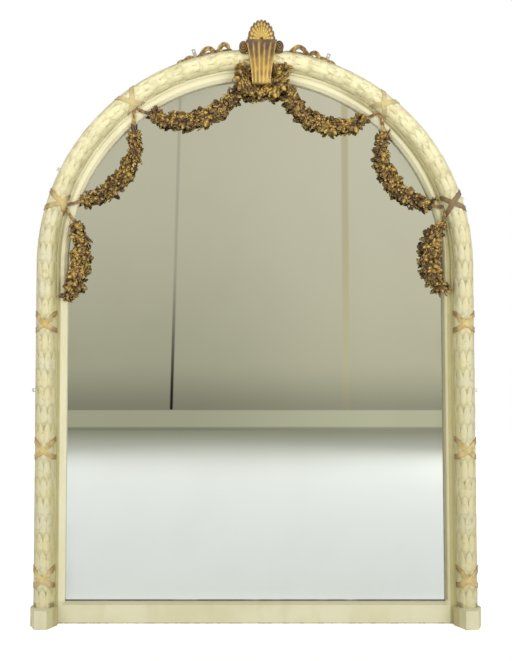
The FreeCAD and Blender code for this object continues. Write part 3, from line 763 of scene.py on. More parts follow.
def flower_tree():
    """Flowers, buds and small leaves set all over a core."""
    tree, given, out = new_tree(
        "flower_core", ("Open Flower", "Object"), ("Rose", "Object"), ("Bud", "Object"), ("Leaf", "Object"),
        ("Flower Gap", "Float"), ("Leaf Gap", "Float"), ("Sink", "Float"), ("Seed", "Int"),
        ("Material", "Material"))
    normal = add(tree, "GeometryNodeInputNormal").outputs[0]
    sink = calc(tree, "MULTIPLY", given.outputs["Sink"], -1.0)
    inward = add(tree, "ShaderNodeVectorMath", {0: normal, "Scale": sink}, operation="SCALE")
    core = add(tree, "GeometryNodeSetPosition", {"Geometry": given.outputs[0], "Offset": inward.outputs[0]})
    flowers = [given.outputs[key] for key in ("Open Flower", "Rose", "Bud")]
    leaf = [given.outputs["Leaf"]]
    leaf_gap = given.outputs["Leaf Gap"]
    seed = given.outputs["Seed"]
    blooms = scattered(tree, core.outputs[0], flowers, given.outputs["Flower Gap"], seed,
                       least=0.75, most=1.15)
    leaves = scattered(tree, core.outputs[0], leaf, leaf_gap, calc(tree, "ADD", seed, 100.0),
                       least=0.7, most=1.15)
    filling = scattered(tree, core.outputs[0], leaf, calc(tree, "MULTIPLY", leaf_gap, 0.6),
                        calc(tree, "ADD", seed, 200.0), least=0.4, most=0.7)
    whole = add(tree, "GeometryNodeJoinGeometry")
    for part in (core.outputs[0], blooms, leaves, filling):
        tree.links.new(part, whole.inputs[0])
    real = add(tree, "GeometryNodeRealizeInstances", {0: whole.outputs[0]})
    smooth = add(tree, "GeometryNodeSetShadeSmooth", {"Geometry": real.outputs[0]})
    finish = add(tree, "GeometryNodeSetMaterial",
                 {"Geometry": smooth.outputs[0], "Material": given.outputs["Material"]})
    tree.links.new(finish.outputs[0], out.inputs[0])
    return tree


# Shapes that repeat

def on_round(across, lift):
    """Place on the half-round, from a distance across its face and a height over it, as x and y."""
    reach = round_radius + lift
    turn = across / round_radius
    if abs(turn) <= math.pi / 2:
        return reach * math.sin(turn), -round_seat - reach * math.cos(turn)
    return math.copysign(reach, across), -round_seat + abs(across) - round_radius * math.pi / 2


def border(rows):
    """Edge of a grid of rows, once round."""
    return rows[0] + [row[-1] for row in rows[1:]] + rows[-1][-2::-1] + [row[0] for row in rows[-2:0:-1]]


def laurel_leaf(sculpt, middle, width, laurel):
    """One leaf laid along the half-round: tucked in at its root, crowned, and lifted at its blunt tip."""
    shares = (-1.0, -0.8, -0.4, 0.0, 0.4, 0.8, 1.0)
    root_depth, tip_half = 0.0012, 0.0004
    rows = []
    under = []
    for along in (0.0, 0.14, 0.28, 0.42, 0.54, 0.66, 0.76, 0.85, 0.92, 0.97, 1.0):
        half = width / 2 * (0.84 + 0.16 * min(1.0, along / 0.4))
        half *= (1 - max(0.0, (along - 0.5) / 0.5) ** 2.2) ** 0.75
        half = max(half, tip_half)
        edge_lift = laurel.tip_lift * along ** 1.5
        crown = laurel.leaf_swell * min(1.0, along / 0.5) ** 0.7 * (1 - 0.5 * max(0.0, along - 0.8) / 0.2)
        row = []
        foot = []
        for share in shares:
            across = middle + share * half
            lift = (edge_lift + crown * (1 - share * share)) * (0.3 + 0.7 * math.cos(across / round_radius))
            x, y = on_round(across, lift)
            relief = (1 - 0.8 * abs(share) ** 2.4) * min(1.0, max(0.0, along - 0.2) * 3.5)
            row.append(sculpt.point((x, y, along * laurel.leaf_length), relief))
            x, y = on_round(across, -root_depth)
            foot.append((x, y, along * laurel.leaf_length))
        rows.append(row)
        under.append(foot)
    sculpt.skin(rows, closed=False)
    base = [sculpt.point(place, 0.0) for place in border(under)]
    sculpt.strip(border(rows), base, True)
    sculpt.mesh.faces.new(base)


def leaf_row(name, middles, laurel):
    """One row of leaves across the half-round, from their middles and their shares of the full width."""
    sculpt = Sculpt()
    for middle, share in middles:
        laurel_leaf(sculpt, middle, laurel.leaf_width * share, laurel)
    return sculpt.finished(name, 1e-5)


def crossed_ribbon(name, ribbon, rise, lean=0.0, droop=0.0):
    """Two bands that cross at the crown of the half-round or inside it, the second laid over the first."""
    sculpt = Sculpt()
    profile = ((-1.0, 0.0), (-0.8, 0.0013), (-0.35, 0.0008), (0.35, 0.0008), (0.8, 0.0013), (1.0, 0.0))
    steps = 32
    overlap, foot_depth, over = 0.004, 0.001, 0.0016
    half = ribbon.width / 2
    reach = round_radius * math.pi / 2 + overlap
    for sign in (-1, 1):
        spots = []
        for step in range(steps + 1):
            across = reach * (2 * step / steps - 1)
            flat = on_round(across, 0.0)[0]
            apart = (flat + lean) / (round_radius + (lean if flat > -lean else -lean))
            turn = max(-math.pi / 2, min(math.pi / 2, across / round_radius))
            lift = ribbon.lift + (over * math.exp(-(apart * 3) ** 2) if sign > 0 else 0.0)
            lift *= 0.3 + 0.7 * math.cos(turn)
            x, y = on_round(across, lift)
            place = Vector((x, y, sign * rise * apart + droop * apart ** 2))
            normal = Vector((math.sin(turn), -math.cos(turn), 0.0))
            spots.append((place, normal, lift, 1 - 0.95 * min(1.0, abs(apart))))
        rows = []
        for number, (spot, normal, lift, fade) in enumerate(spots):
            heading = spots[min(steps, number + 1)][0] - spots[max(0, number - 1)][0]
            side = normal.cross(heading).normalized()
            row = [sculpt.point(spot + side * share * half + normal * height, fade * (0.8 + 150 * height))
                   for share, height in profile]
            foot = spot - normal * (lift + foot_depth)
            row += [sculpt.point(foot + side * share * half, 0.0) for share in (1.0, -1.0)]
            rows.append(row)
        sculpt.skin(rows)
    return sculpt.finished(name)


def ringed(name, rings, top, root):
    """Closed mesh over rings of points, each ring a list of places with their relief, and two end points."""
    sculpt = Sculpt()
    rows = [[sculpt.point(place, relief) for place, relief in ring] for ring in rings]
    sculpt.skin(rows, caps=False)
    tip = sculpt.point((0, 0, top[0]), top[1])
    base = sculpt.point((0, 0, root), 0.0)
    count = len(rows[0])
    for number in range(count):
        after = (number + 1) % count
        sculpt.mesh.faces.new((rows[0][number], rows[0][after], tip))
        sculpt.mesh.faces.new((rows[-1][after], rows[-1][number], base))
    return sculpt.finished(name)


def open_flower(radius):
    """Five pointed petals round a boss."""
    petal = ((1.0, 1.0), (0.8, 0.6), (0.45, 0.1), (0.8, 0.6))
    count = 5 * len(petal)
    rings = []
    for share, height, shaped in ((0.2, 0.62, 0), (0.3, 0.3, 0), (0.65, 0.6, 1), (1.0, 0.5, 1)):
        ring = []
        for number in range(count):
            turn = math.tau * number / count
            reach, relief = petal[number % len(petal)] if shaped else (1.0, 0.9 if share < 0.25 else 0.15)
            distance = radius * share * reach
            rise = radius * (height - 0.5 * (1 - reach))
            ring.append(((distance * math.cos(turn), distance * math.sin(turn), rise), relief))
        rings.append(ring)
    return ringed("open_flower", rings, (radius * 0.78, 1.0), -radius * 0.4)


def rose(radius):
    """A full flower: two turns of cupped petals round a bud."""
    count = 10
    rings = []
    for share, height, shift, relief in ((0.16, 0.85, 0, 0.6), (0.36, 0.95, 1, 1.0), (0.44, 0.6, 0, 0.15),
                                         (0.72, 0.75, 1, 1.0), (0.74, 0.38, 0, 0.1), (1.0, 0.42, 0, 0.85)):
        ring = []
        for number in range(count):
            wave = math.cos(math.tau * (number * 5 / count + shift * 0.5))
            turn = math.tau * number / count
            reach = radius * share * (1 + 0.14 * wave)
            rise = radius * height * (1 + 0.08 * wave)
            place = (reach * math.cos(turn), reach * math.sin(turn), rise)
            ring.append((place, relief * (0.75 + 0.25 * wave)))
        rings.append(ring)
    return ringed("rose", rings, (radius * 0.8, 0.3), -radius * 0.4)


def bud(radius):
    """A round bud with a notch at its tip."""
    count = 7
    spokes = [math.tau * number / count for number in range(count)]
    rings = []
    for tilt, relief in ((1.15, 0.8), (0.7, 0.9), (0.0, 0.45), (-0.6, 0.1)):
        wide = radius * 0.7 * math.cos(tilt)
        rise = radius * (0.4 + 0.8 * math.sin(tilt))
        rings.append([((wide * math.cos(turn), wide * math.sin(turn), rise), relief) for turn in spokes])
    return ringed("bud", rings, (radius * 1.02, 0.35), -radius * 0.5)


def small_leaf(size):
    """A pointed leaf that leaves the core at a slant and curls over at its tip."""
    thickness = 0.07
    sculpt = Sculpt()
    rows = []
    for along, half, rise in ((0.0, 0.2, -0.12), (0.22, 0.29, 0.15), (0.5, 0.31, 0.36), (0.78, 0.2, 0.48),
                              (1.0, 0.01, 0.5)):
        points = [(side * half, rise + thickness * abs(side), 1.0 - 0.45 * abs(side)) for side in (-1, 0, 1)]
        points.append((0.0, rise - thickness, 0.1))
        rows.append([sculpt.point((along * size, y * size, z * size), relief * (0.1 + 0.9 * along))
                     for y, z, relief in points])
    sculpt.skin(rows)
    return sculpt.finished("small_leaf")


def smooth_path(points, steps):
    """Points along a smooth line through the given ones."""
    line = []
    for number in range(len(points) - 1):
        before = points[max(0, number - 1)]
        first, second = points[number], points[number + 1]
        after = points[min(len(points) - 1, number + 2)]
        for step in range(steps):
            t = step / steps
            square = 2 * before - 5 * first + 4 * second - after
            cube = 3 * first - before - 3 * second + after
            line.append(0.5 * (2 * first + (second - before) * t + square * t ** 2 + cube * t ** 3))
    line.append(points[-1])
    return line


def swept_ribbon(sculpt, path, width, thickness):
    """A band along a path, flat to the front, with a shallow groove; it narrows at both ends."""
    profile = ((-1.0, 0.0), (-0.7, 0.7), (-0.25, 0.45), (0.25, 0.45), (0.7, 0.7), (1.0, 0.0),
               (0.6, -0.7), (-0.6, -0.7))
    end_size, widening = 0.35, 6
    front = Vector((0, -1, 0))
    rows = []
    last = len(path) - 1
    for number, spot in enumerate(path):
        tangent = (path[min(last, number + 1)] - path[max(0, number - 1)]).normalized()
        across = tangent.cross(front).normalized()
        half = min(1.0, end_size + widening * min(number, last - number) / last) / 2
        row = []
        for a, b in profile:
            place = spot + across * (a * width * half) + front * (b * thickness * half)
            row.append(sculpt.point(place, 0.35 + 0.65 * abs(a) if b > 0 else 0.2))
        rows.append(row)
    sculpt.skin(rows)


# Operators, one for each piece or group of like pieces

class OVERMANTEL_OT_frame(bpy.types.Operator):
    """Paint the carcass, slips, plinths and rail, and finish the boards and blocks behind them"""
    bl_idname = "overmantel.frame"
    bl_label = "Frame"

    def execute(self, context):
        dress(cream_paint("cream_paint", dust_and_shade=0.6), "stile_left", "stile_right", "bottom_rail", "rail_fascia",
              "sight_slip_left", "sight_slip_right", *numbered("arch_carcass", 4),
              *numbered("sight_slip_arch", 4))
        dress(cream_paint("plinth_paint", dust_and_shade=0.15, side_shade=0.45), "plinth_left", "plinth_right")
        dress(moulding_ground(), "laurel_moulding_left", "laurel_moulding_right",
              *numbered("laurel_moulding_arch", 4))
        boards = numbered("backboard", 6)
        heights = [corners(board)[0].z for board in boards]
        dress(bare_pine("pine_boards", "X", sorted(heights)[1:]), *boards)
        dress(bare_pine("pine_blocks", "Z"), "setting_blocks", "glazing_blocks", "frame_dowels",
              "crest_dowels")
        return {"FINISHED"}


class OVERMANTEL_OT_fittings(bpy.types.Operator):
    """Finish the wall plates and the screws"""
    bl_idname = "overmantel.fittings"
    bl_label = "Fittings"

    def execute(self, context):
        metal = settings().metal
        plates = ["wall_plate_%s_%s" % (place, side)
                  for place in ("low", "high", "top") for side in ("left", "right")]
        dress(old_steel("wall_plate_steel", metal.plate, rust=0.35), *plates)
        dress(old_steel("screw_steel", metal.screw, rust=0.9), "wall_plate_screws", "backboard_screws")
        return {"FINISHED"}


class OVERMANTEL_OT_laurel(bpy.types.Operator):
    """Lay the rows of laurel leaves up both sides and round the arch"""
    bl_idname = "overmantel.laurel"
    bl_label = "Laurel leaves"

    def execute(self, context):
        laurel = settings().laurel
        tree = laurel_tree()
        gap = laurel.leaf_gap
        edge = laurel.edge_leaf
        pairs = [(gap * share, 1.0) for share in (-0.5, 0.5, -1.5, 1.5)]
        centres = [(0.0, 1.0), (-gap, 1.0), (gap, 1.0), (-edge, 0.8), (edge, 0.8)]
        odd = pattern("pair_row", leaf_row("pair_row", pairs, laurel))
        even = pattern("centre_row", leaf_row("centre_row", centres, laurel))
        paint = laurel_paint()
        for name, side in (("laurel_leaves_right", 1.0), ("laurel_leaves_left", -1.0)):
            mesh = grown(name, bpy.data.meshes.new(name), tree, {
                "Odd Row": odd, "Even Row": even, "Rows": laurel.row_count, "Row Pitch": laurel.row_pitch,
                "First Row": plinth_top - laurel.first_row, "Side": side, "Material": paint, **frame_values})
            keep(name, mesh)
        for shape in (odd, even):
            bpy.data.objects.remove(shape)
        return {"FINISHED"}


class OVERMANTEL_OT_joints(bpy.types.Operator):
    """Fill the joint between the laurel moulding and the slip with old paint"""
    bl_idname = "overmantel.joints"
    bl_label = "Painted joints"

    def execute(self, context):
        lap = 0.0006
        outer = -round_radius + lap
        inner = outer_edge - slip_start - round_middle - lap
        top = slip_low.y
        floor = stile_low.y + 0.0005
        profile = ((outer, floor), (outer, top - 0.0012), ((outer + inner) / 2, top + 0.0006),
                   (inner, top + 0.0003), (inner, floor))
        crown = spring + round_middle * math.pi / 2
        steps = 120
        tree = bend_tree()
        paint = cream_paint("joint_paint", dust_and_shade=0.6)
        for name, side in (("joint_fill_right", 1.0), ("joint_fill_left", -1.0)):
            sculpt = Sculpt()
            rows = []
            for step in range(steps + 1):
                run = plinth_top + (crown - plinth_top) * step / steps
                rows.append([sculpt.point((x, y, run), 0.0) for x, y in profile])
            sculpt.skin(rows)
            mesh = grown(name, sculpt.finished(name), tree, {"Side": side, "Material": paint, **frame_values})
            keep(name, mesh)
        return {"FINISHED"}


class OVERMANTEL_OT_ties(bpy.types.Operator):
    """Wrap the crossed ribbons round the moulding"""
    bl_idname = "overmantel.ties"
    bl_label = "Ribbon ties"

    def execute(self, context):
        ribbon = settings().ribbon
        tree = tie_tree()
        band = crossed_ribbon("stile_ribbon", ribbon, ribbon.stile_rise, droop=ribbon.stile_droop)
        upright = pattern("stile_ribbon", band)
        gilt = ribbon_wash()
        for name, side, angles, lean in (("right", 1.0, ribbon.right_turns, ribbon.right_lean),
                                         ("left", -1.0, ribbon.left_turns, ribbon.left_lean)):
            band = crossed_ribbon("arch_ribbon", ribbon, ribbon.arch_rise, lean=lean)
            curved = pattern("arch_ribbon", band)
            stations = [ribbon.first_tie + number * ribbon.tie_pitch for number in range(3)]
            stations += [spring + angle * round_middle for angle in angles]
            spots = bpy.data.meshes.new("tie_spots")
            spots.from_pydata([(0, 0, station) for station in stations], [], [])
            mesh = grown("crossed_ribbons_" + name, spots, tree, {
                "Stile Ribbon": upright, "Arch Ribbon": curved, "Side": side, "Material": gilt,
                **frame_values})
            keep("crossed_ribbons_" + name, mesh, replaces=["ribbon_ties_" + name])
            bpy.data.objects.remove(curved)
        bpy.data.objects.remove(upright)
        return {"FINISHED"}


class OVERMANTEL_OT_hangers(bpy.types.Operator):
    """Hang the swags from the ties by ribbons"""
    bl_idname = "overmantel.hangers"
    bl_label = "Hangers"

    def execute(self, context):
        sculpt = Sculpt()
        ribbon = settings().ribbon
        for line in separate_runs(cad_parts["swag_wires"].data, parts=4):
            path = smooth_path(line, steps=6)
            for number, place in enumerate(path):
                place.z -= ribbon.hanger_sag * math.sin(math.pi * number / (len(path) - 1))
            swept_ribbon(sculpt, path, ribbon.hanger_width, ribbon.hanger_thickness)
        gilt = gilding("hanger_gilt", brightness=-0.25, spread=0.8, scale=90.0)
        keep("swag_hangers", sculpt.finished("swag_hangers"), gilt, ["swag_wires"])
        return {"FINISHED"}


class OVERMANTEL_OT_swags(bpy.types.Operator):
    """Cover the swags, the drops and the garland with flowers, buds and leaves"""
    bl_idname = "overmantel.swags"
    bl_label = "Swags"

    def execute(self, context):
        swag = settings().swag
        tree = flower_tree()
        rose_share, bud_share = 0.8, 0.6
        shapes = {
            "Open Flower": pattern("open_flower", open_flower(swag.flower_radius)),
            "Rose": pattern("rose", rose(swag.flower_radius * rose_share)),
            "Bud": pattern("bud", bud(swag.flower_radius * bud_share)),
            "Leaf": pattern("small_leaf", small_leaf(swag.leaf_length))}
        flower_gilt = gilding("flower_gilt", brightness=0.09, spread=0.75)
        garland_gilt = gilding("garland_gilt", brightness=0.17, spread=0.75)
        seed_step = 3
        names = ["swag_upper_left", "swag_upper_right", "swag_lower_left", "swag_lower_right", "drop_left",
                 "drop_right", "crest_garland"]
        for number, name in enumerate(names):
            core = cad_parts[name].data.copy()
            work = merged(core)
            work.to_mesh(core)
            work.free()
            core.materials.clear()
            mesh = grown(name + "_flowers", core, tree, {
                "Flower Gap": swag.flower_gap, "Leaf Gap": swag.leaf_gap, "Sink": swag.sink,
                "Seed": swag.seed + seed_step * number,
                "Material": garland_gilt if name == "crest_garland" else flower_gilt, **shapes})
            keep(name + "_flowers", mesh, replaces=[name])
        for shape in shapes.values():
            bpy.data.objects.remove(shape)
        return {"FINISHED"}


class OVERMANTEL_OT_keystone(bpy.types.Operator):
    """Carve the fluted keystone with its rolled top"""
    bl_idname = "overmantel.keystone"
    bl_label = "Keystone"

    def execute(self, context):
        crest = settings().crest
        low, high = corners("keystone")
        middle = (low.x + high.x) / 2
        top_half = (high.x - low.x) / 2
        foot_share = 52 / 81
        foot_half = top_half * foot_share
        height = high.z - low.z
        inset, fall = 0.003, 0.014
        face = low.y + inset
        face_steps, roll_steps, fade_steps, flute_steps = 16, 7, 4, 8
        sculpt = Sculpt()
        spans = crest.flutes * flute_steps
        places = []
        for step in range(face_steps + 1):
            share = step / face_steps
            place_y = face + crest.slant * (1 - share) + crest.hollow * math.sin(math.pi * share)
            places.append((low.z + (height - crest.roll) * share, place_y, 1.0))
        for step in range(1, roll_steps + 1):
            share = step / roll_steps
            place_y = face - inset * math.sin(math.pi * 0.62 * share) + fall * share ** 2
            place_z = high.z - crest.roll / 2 * (1 + math.cos(math.pi * share))
            places.append((place_z, place_y, max(0.0, 1 - step / fade_steps)))
        rows = []
        for place_z, place_y, carve in places:
            share = (place_z - low.z) / height
            half = foot_half + (top_half + crest.flare - foot_half) * share ** 1.5
            row = []
            for number in range(spans + 1):
                across = number / spans
                flute = abs(math.sin(math.pi * crest.flutes * across))
                depth = crest.flute_depth * (flute ** 0.7) * carve * min(1.0, 0.45 + share)
                relief = 1 - 0.85 * flute - 0.9 * max(0.0, share - 0.5) / 0.5 if carve else -0.2
                row.append(sculpt.point((middle + half * (2 * across - 1), place_y + depth, place_z), relief))
            for side, steps in ((1, (0.35, 0.7, 1.0)), (-1, (1.0, 0.7, 0.35))):
                for step in steps:
                    place = (middle + side * half, place_y + (high.y - place_y) * step, place_z)
                    row.append(sculpt.point(place, 0.4 * (1 - step)))
            rows.append(row)
        sculpt.skin(rows)
        gilt = gilding("keystone_gilt", brightness=0.31)
        keep("keystone_carving", sculpt.finished("keystone_carving"), gilt, ["keystone"])
        return {"FINISHED"}


class OVERMANTEL_OT_volutes(bpy.types.Operator):
    """Carve the two scrolls beside the keystone"""
    bl_idname = "overmantel.volutes"
    bl_label = "Scrolls"

    def execute(self, context):
        gilt = gilding("scroll_gilt", brightness=-0.18)
        count = 40
        circle = [(math.cos(math.tau * number / count), math.sin(math.tau * number / count))
                  for number in range(count)]
        seat, eye_height, narrowing = 0.008, 0.006, 0.78
        coil_turns, coil_height = 2.4, 0.0022
        for name, side in (("volute_left", -1), ("volute_right", 1)):
            low, high = corners(name)
            tall = (high.z - low.z) / 2
            wide = tall * narrowing
            centre_x = low.x + tall if side < 0 else high.x - tall
            centre_z = (low.z + high.z) / 2
            sculpt = Sculpt()
            rings = []
            for share in (0.04, 0.12, 0.2, 0.28, 0.36, 0.44, 0.52, 0.6, 0.68, 0.76, 0.84, 0.92, 0.98):
                ring = []
                for number, (across, up) in enumerate(circle):
                    coil = math.cos(math.tau * (share * coil_turns - side * number / count))
                    y = low.y + seat - coil_height * coil - eye_height * (1 - share)
                    place = (centre_x + wide * share * across, y, centre_z + tall * share * up)
                    ring.append(sculpt.point(place, 0.4 + 0.4 * coil))
                rings.append(ring)
            for depth, relief in ((0.010, 0.4), (0.020, 0.3), (high.y - low.y, 0.1)):
                y = low.y + depth
                rings.append([sculpt.point((centre_x + wide * across, y, centre_z + tall * up), relief)
                              for across, up in circle])
            sculpt.skin(rings)
            keep(name + "_scroll", sculpt.finished(name + "_scroll"), gilt, [name])
        return {"FINISHED"}


class OVERMANTEL_OT_shell(bpy.types.Operator):
    """Carve the shell, a fan of lobes in two tiers"""
    bl_idname = "overmantel.shell"
    bl_label = "Shell"

    def execute(self, context):
        crest = settings().crest
        low, high = corners("shell")
        middle = (low.x + high.x) / 2
        wide = (high.x - low.x) / 2
        tall = high.z - low.z
        sculpt = Sculpt()
        lobe_steps = 8
        around = crest.lobes * lobe_steps
        front_rows = []
        shares = (0.12, 0.22, 0.32, 0.42, 0.5, 0.56, 0.6, 0.64, 0.7, 0.78, 0.86, 0.93, 0.98, 1.0)
        tier_edge, tier_height = 0.6, 0.0045
        rim_edge, rim_drop = 0.98, 0.004
        seat, dome_height, notch = 0.013, 0.007, 0.07
        for share in shares:
            tier = tier_height if share <= tier_edge else 0.0
            dome = dome_height * math.sin(math.pi * min(1.0, 0.25 + share * 0.75)) ** 0.8
            drop = 0.0 if share < rim_edge else rim_drop
            shade = 0.4 if tier_edge < share < 0.68 else 0.15 if share > 0.85 else 1.0
            row = []
            for number in range(around + 1):
                turn = math.pi * (1 - number / around)
                lobe = abs(math.sin(math.pi * crest.lobes * number / around))
                reach = share * (1 - notch * share * (1 - lobe ** 0.6))
                y = low.y + seat - dome - tier - crest.rib_height * share * lobe ** 0.8 + drop
                place = (middle + wide * reach * math.cos(turn), max(y, low.y - 0.001),
                         low.z + tall * reach * math.sin(turn))
                row.append(sculpt.point(place, (0.25 + 0.75 * lobe) * shade))
            front_rows.append(row)
        back_row = [sculpt.point((vert.co.x, high.y, vert.co.z), 0.0) for vert in front_rows[-1]]
        inner_back = [sculpt.point((vert.co.x, high.y, vert.co.z), 0.0) for vert in front_rows[0]]
        sculpt.skin(front_rows + [back_row, inner_back, front_rows[0]], closed=False)
        for end in (0, -1):
            sculpt.mesh.faces.new([row[end] for row in front_rows] + [back_row[end], inner_back[end]])
        keep("shell_fan", sculpt.finished("shell_fan"), gilding("shell_gilt", brightness=0.15),
             ["shell"])
        return {"FINISHED"}


class OVERMANTEL_OT_bows(bpy.types.Operator):
    """Run the ribbon bows along the top of the arch"""
    bl_idname = "overmantel.bows"
    bl_label = "Ribbon bows"

    def execute(self, context):
        ribbon = settings().ribbon
        gilt = gilding("bow_gilt", brightness=-0.2, spread=1.0, scale=100.0)
        millimetre = 0.001
        # Two strands to a bow, as runs along the arch from its top and rises over it, in millimetres
        bows = {
            "ribbon_bow_left": (-1, (
                ((64, 2), (72, 8), (76, 18), (85, 24), (95, 18), (101, 8), (107, 2), (116, 7), (122, 16),
                 (131, 20), (143, 16), (153, 6), (164, 0), (174, 0), (183, 5), (192, 7), (202, 2), (211, 3),
                 (220, 4), (230, -3)),
                ((72, 3), (88, 1), (104, 4), (122, 1), (142, 1), (160, 3)))),
            "ribbon_bow_right": (1, (
                ((86, 2), (100, 3), (108, 9), (115, 18), (124, 23), (136, 20), (146, 12), (154, 3), (162, 0),
                 (174, -2), (186, 2), (194, 6), (203, 6), (212, 2), (221, 4), (231, 3), (243, -4)),
                ((104, 4), (120, 1), (138, 1), (152, 4), (160, 3), (163, 11), (171, 16), (181, 11), (184, 3),
                 (176, -3))))}
        ring = round_middle + round_radius
        for name, (side, strands) in bows.items():
            sculpt = Sculpt()
            for number, strand in enumerate(strands):
                y = -ribbon.bow_depth - ribbon.bow_step * number
                places = []
                for run, rise in strand:
                    turn = run * millimetre / ring
                    reach = ring + rise * millimetre
                    places.append(Vector((side * reach * math.sin(turn), y, spring + reach * math.cos(turn))))
                swept_ribbon(sculpt, smooth_path(places, steps=5), ribbon.bow_width, ribbon.bow_thickness)
            keep(name + "_ribbon", sculpt.finished(name + "_ribbon"), gilt, [name])
        return {"FINISHED"}


class OVERMANTEL_OT_plate(bpy.types.Operator):
    """Silver the mirror plate behind its glass"""
    bl_idname = "overmantel.plate"
    bl_label = "Mirror plate"

    def execute(self, context):
        plate = settings().plate
        low, high = corners("mirror_plate")
        half = (high.x - low.x) / 2
        face = low.y + plate.silver_depth
        steps = 96
        outline = [(-half, low.z), (half, low.z)]
        for step in range(steps + 1):
            turn = math.pi * step / steps
            outline.append((half * math.cos(turn), spring + half * math.sin(turn)))
        sculpt = Sculpt()
        sculpt.skin([[sculpt.point((x, y, z), 0.0) for x, z in outline] for y in (face, high.y)])
        piece = keep("silvered_plate", sculpt.finished("silvered_plate"), silvering(),
                     ["mirror_plate"])
        for polygon in piece.data.polygons:
            polygon.use_smooth = False
        return {"FINISHED"}


class OVERMANTEL_OT_stage(bpy.types.Operator):
    """Set up the floor, the backdrop that the mirror faces, the lamps and the camera"""
    bl_idname = "overmantel.stage"
    bl_label = "Stage"

    def sheet(self, name, places, material):
        mesh = bpy.data.meshes.new(name)
        mesh.from_pydata(places, [], [(0, 1, 2, 3)])
        mesh.materials.append(material)
        piece = bpy.data.objects.new(name, mesh)
        bpy.context.scene.collection.objects.link(piece)
        return piece

    def lamp(self, name, watts, place, target, size, spread=math.pi):
        data = bpy.data.lights.new(name, "AREA")
        data.shape = "DISK"
        data.size = size
        data.energy = watts
        data.spread = spread
        piece = bpy.data.objects.new(name, data)
        piece.location = place
        piece.rotation_euler = (Vector(target) - Vector(place)).to_track_quat("-Z", "Y").to_euler()
        bpy.context.scene.collection.objects.link(piece)
        return piece

    def shown(self, tint):
        """Colour that looks like the given one in the mirror."""
        return [part / silver for part, silver in zip(tint, settings().plate.silver)]

    def band(self, tree, value, middle, half):
        """Soft-edged band of a value about a middle."""
        distance = calc(tree, "ABSOLUTE", calc(tree, "SUBTRACT", value, middle))
        return ramp(tree, distance, half, half * 0.4)

    def blank(self, name):
        """Empty material and its three axes."""
        material = bpy.data.materials.new(name)
        material.use_nodes = True
        tree = material.node_tree
        tree.nodes.clear()
        spot = add(tree, "ShaderNodeTexCoord").outputs["Object"]
        return material, tree, add(tree, "ShaderNodeSeparateXYZ", {0: spot}).outputs

    def seen(self, tree):
        """1 for what the camera sees, straight, mirrored or through glass, and 0 for light on the object."""
        rays = add(tree, "ShaderNodeLightPath").outputs
        return calc(tree, "MAXIMUM", rays["Is Camera Ray"],
                    calc(tree, "MAXIMUM", rays["Is Glossy Ray"], rays["Is Transmission Ray"]))

    def floor_paper(self):
        """White paper that glows for the camera and the mirror, and fades with distance in front of the
        mirror as painted shade.
        """
        far_paper, near_paper = (0.50, 0.50, 0.42), (0.84, 0.84, 0.84)
        far_glow, near_glow = (1.0, 1.0, 0.75), (1.0, 1.0, 1.0)
        material, tree, axes = self.blank("stage_floor")
        y = axes["Y"]
        paper = blend(tree, ramp(tree, y, -8.5, -3.5), far_paper, near_paper)
        matt = add(tree, "ShaderNodeBsdfDiffuse", {"Color": paper})
        near = ramp(tree, y, -10.5, -2.0)
        level = calc(tree, "MULTIPLY_ADD", near, 0.20, ramp(tree, y, -0.45, 0.1, 0.0, 0.30))
        straight = add(tree, "ShaderNodeLightPath").outputs["Is Camera Ray"]
        level = calc(tree, "MULTIPLY_ADD", self.seen(tree), level, calc(tree, "MULTIPLY", straight, 0.15))
        glow = add(tree, "ShaderNodeEmission",
                   {"Color": blend(tree, near, far_glow, near_glow), "Strength": level})
        both = add(tree, "ShaderNodeAddShader", {0: matt.outputs[0], 1: glow.outputs[0]})
        add(tree, "ShaderNodeOutputMaterial", {"Surface": both.outputs[0]})
        return material

    def backdrop_cloth(self):
        """Glowing grey cloth in three widths over a ledge, lighter to the right as painted light and dark at
        its foot as painted shade.
        """
        stage = settings().stage
        material, tree, axes = self.blank("stage_backdrop")
        x, z = axes["X"], axes["Z"]
        foot, top = self.shown(stage.backdrop_foot), self.shown(stage.backdrop_top)
        tint = blend(tree, ramp(tree, z, -0.6, 3.6), foot, top)
        tape = self.band(tree, x, middle=1.46, half=0.06)
        tape = calc(tree, "MULTIPLY", tape, ramp(tree, z, 0.2, 2.0, 0.5, 1.0))
        tint = blend(tree, calc(tree, "MULTIPLY", tape, 0.7), tint, self.shown(stage.seam))
        # Painted light: the cloth grows brighter to the right, most of all low down.
        side = calc(tree, "MULTIPLY_ADD", ramp(tree, x, -0.8, 1.9), ramp(tree, z, 0.0, 3.4, 0.34, 0.12), 1.0)
        slant = calc(tree, "MULTIPLY_ADD", z, -0.026, x)
        gap = self.band(tree, slant, middle=-0.751, half=0.026)
        gap = calc(tree, "MULTIPLY", gap, ramp(tree, z, 2.2, 0.3, 0.2, 0.95))
        shade = calc(tree, "MULTIPLY", ramp(tree, z, 0.15, 0.9, 0.62, 1.0), calc(tree, "SUBTRACT", 1.0, gap))
        low = ramp(tree, z, 0.27, 0.25)
        tint = blend(tree, low, tint, self.shown(stage.ledge))
        level = calc(tree, "MULTIPLY", side, calc(tree, "MAXIMUM", shade, low))
        # Painted shade at the very foot of the cloth.
        level = calc(tree, "MULTIPLY", level, ramp(tree, z, 0.03, 0.055, 0.6, 1.0))
        shine = add(tree, "ShaderNodeEmission", {"Color": tint, "Strength": level})
        add(tree, "ShaderNodeOutputMaterial", {"Surface": shine.outputs[0]})
        return material

    def execute(self, context):
        stage = settings().stage
        scene = context.scene
        far = -stage.backdrop_distance
        side, top = 9, 7
        edge = [(-side, far, 0), (side, far, 0)]
        self.sheet("floor", edge + [(side, side, 0), (-side, side, 0)], self.floor_paper())
        backdrop = self.sheet("backdrop", edge + [(side, far, top), (-side, far, top)], self.backdrop_cloth())
        backdrop.visible_camera = False

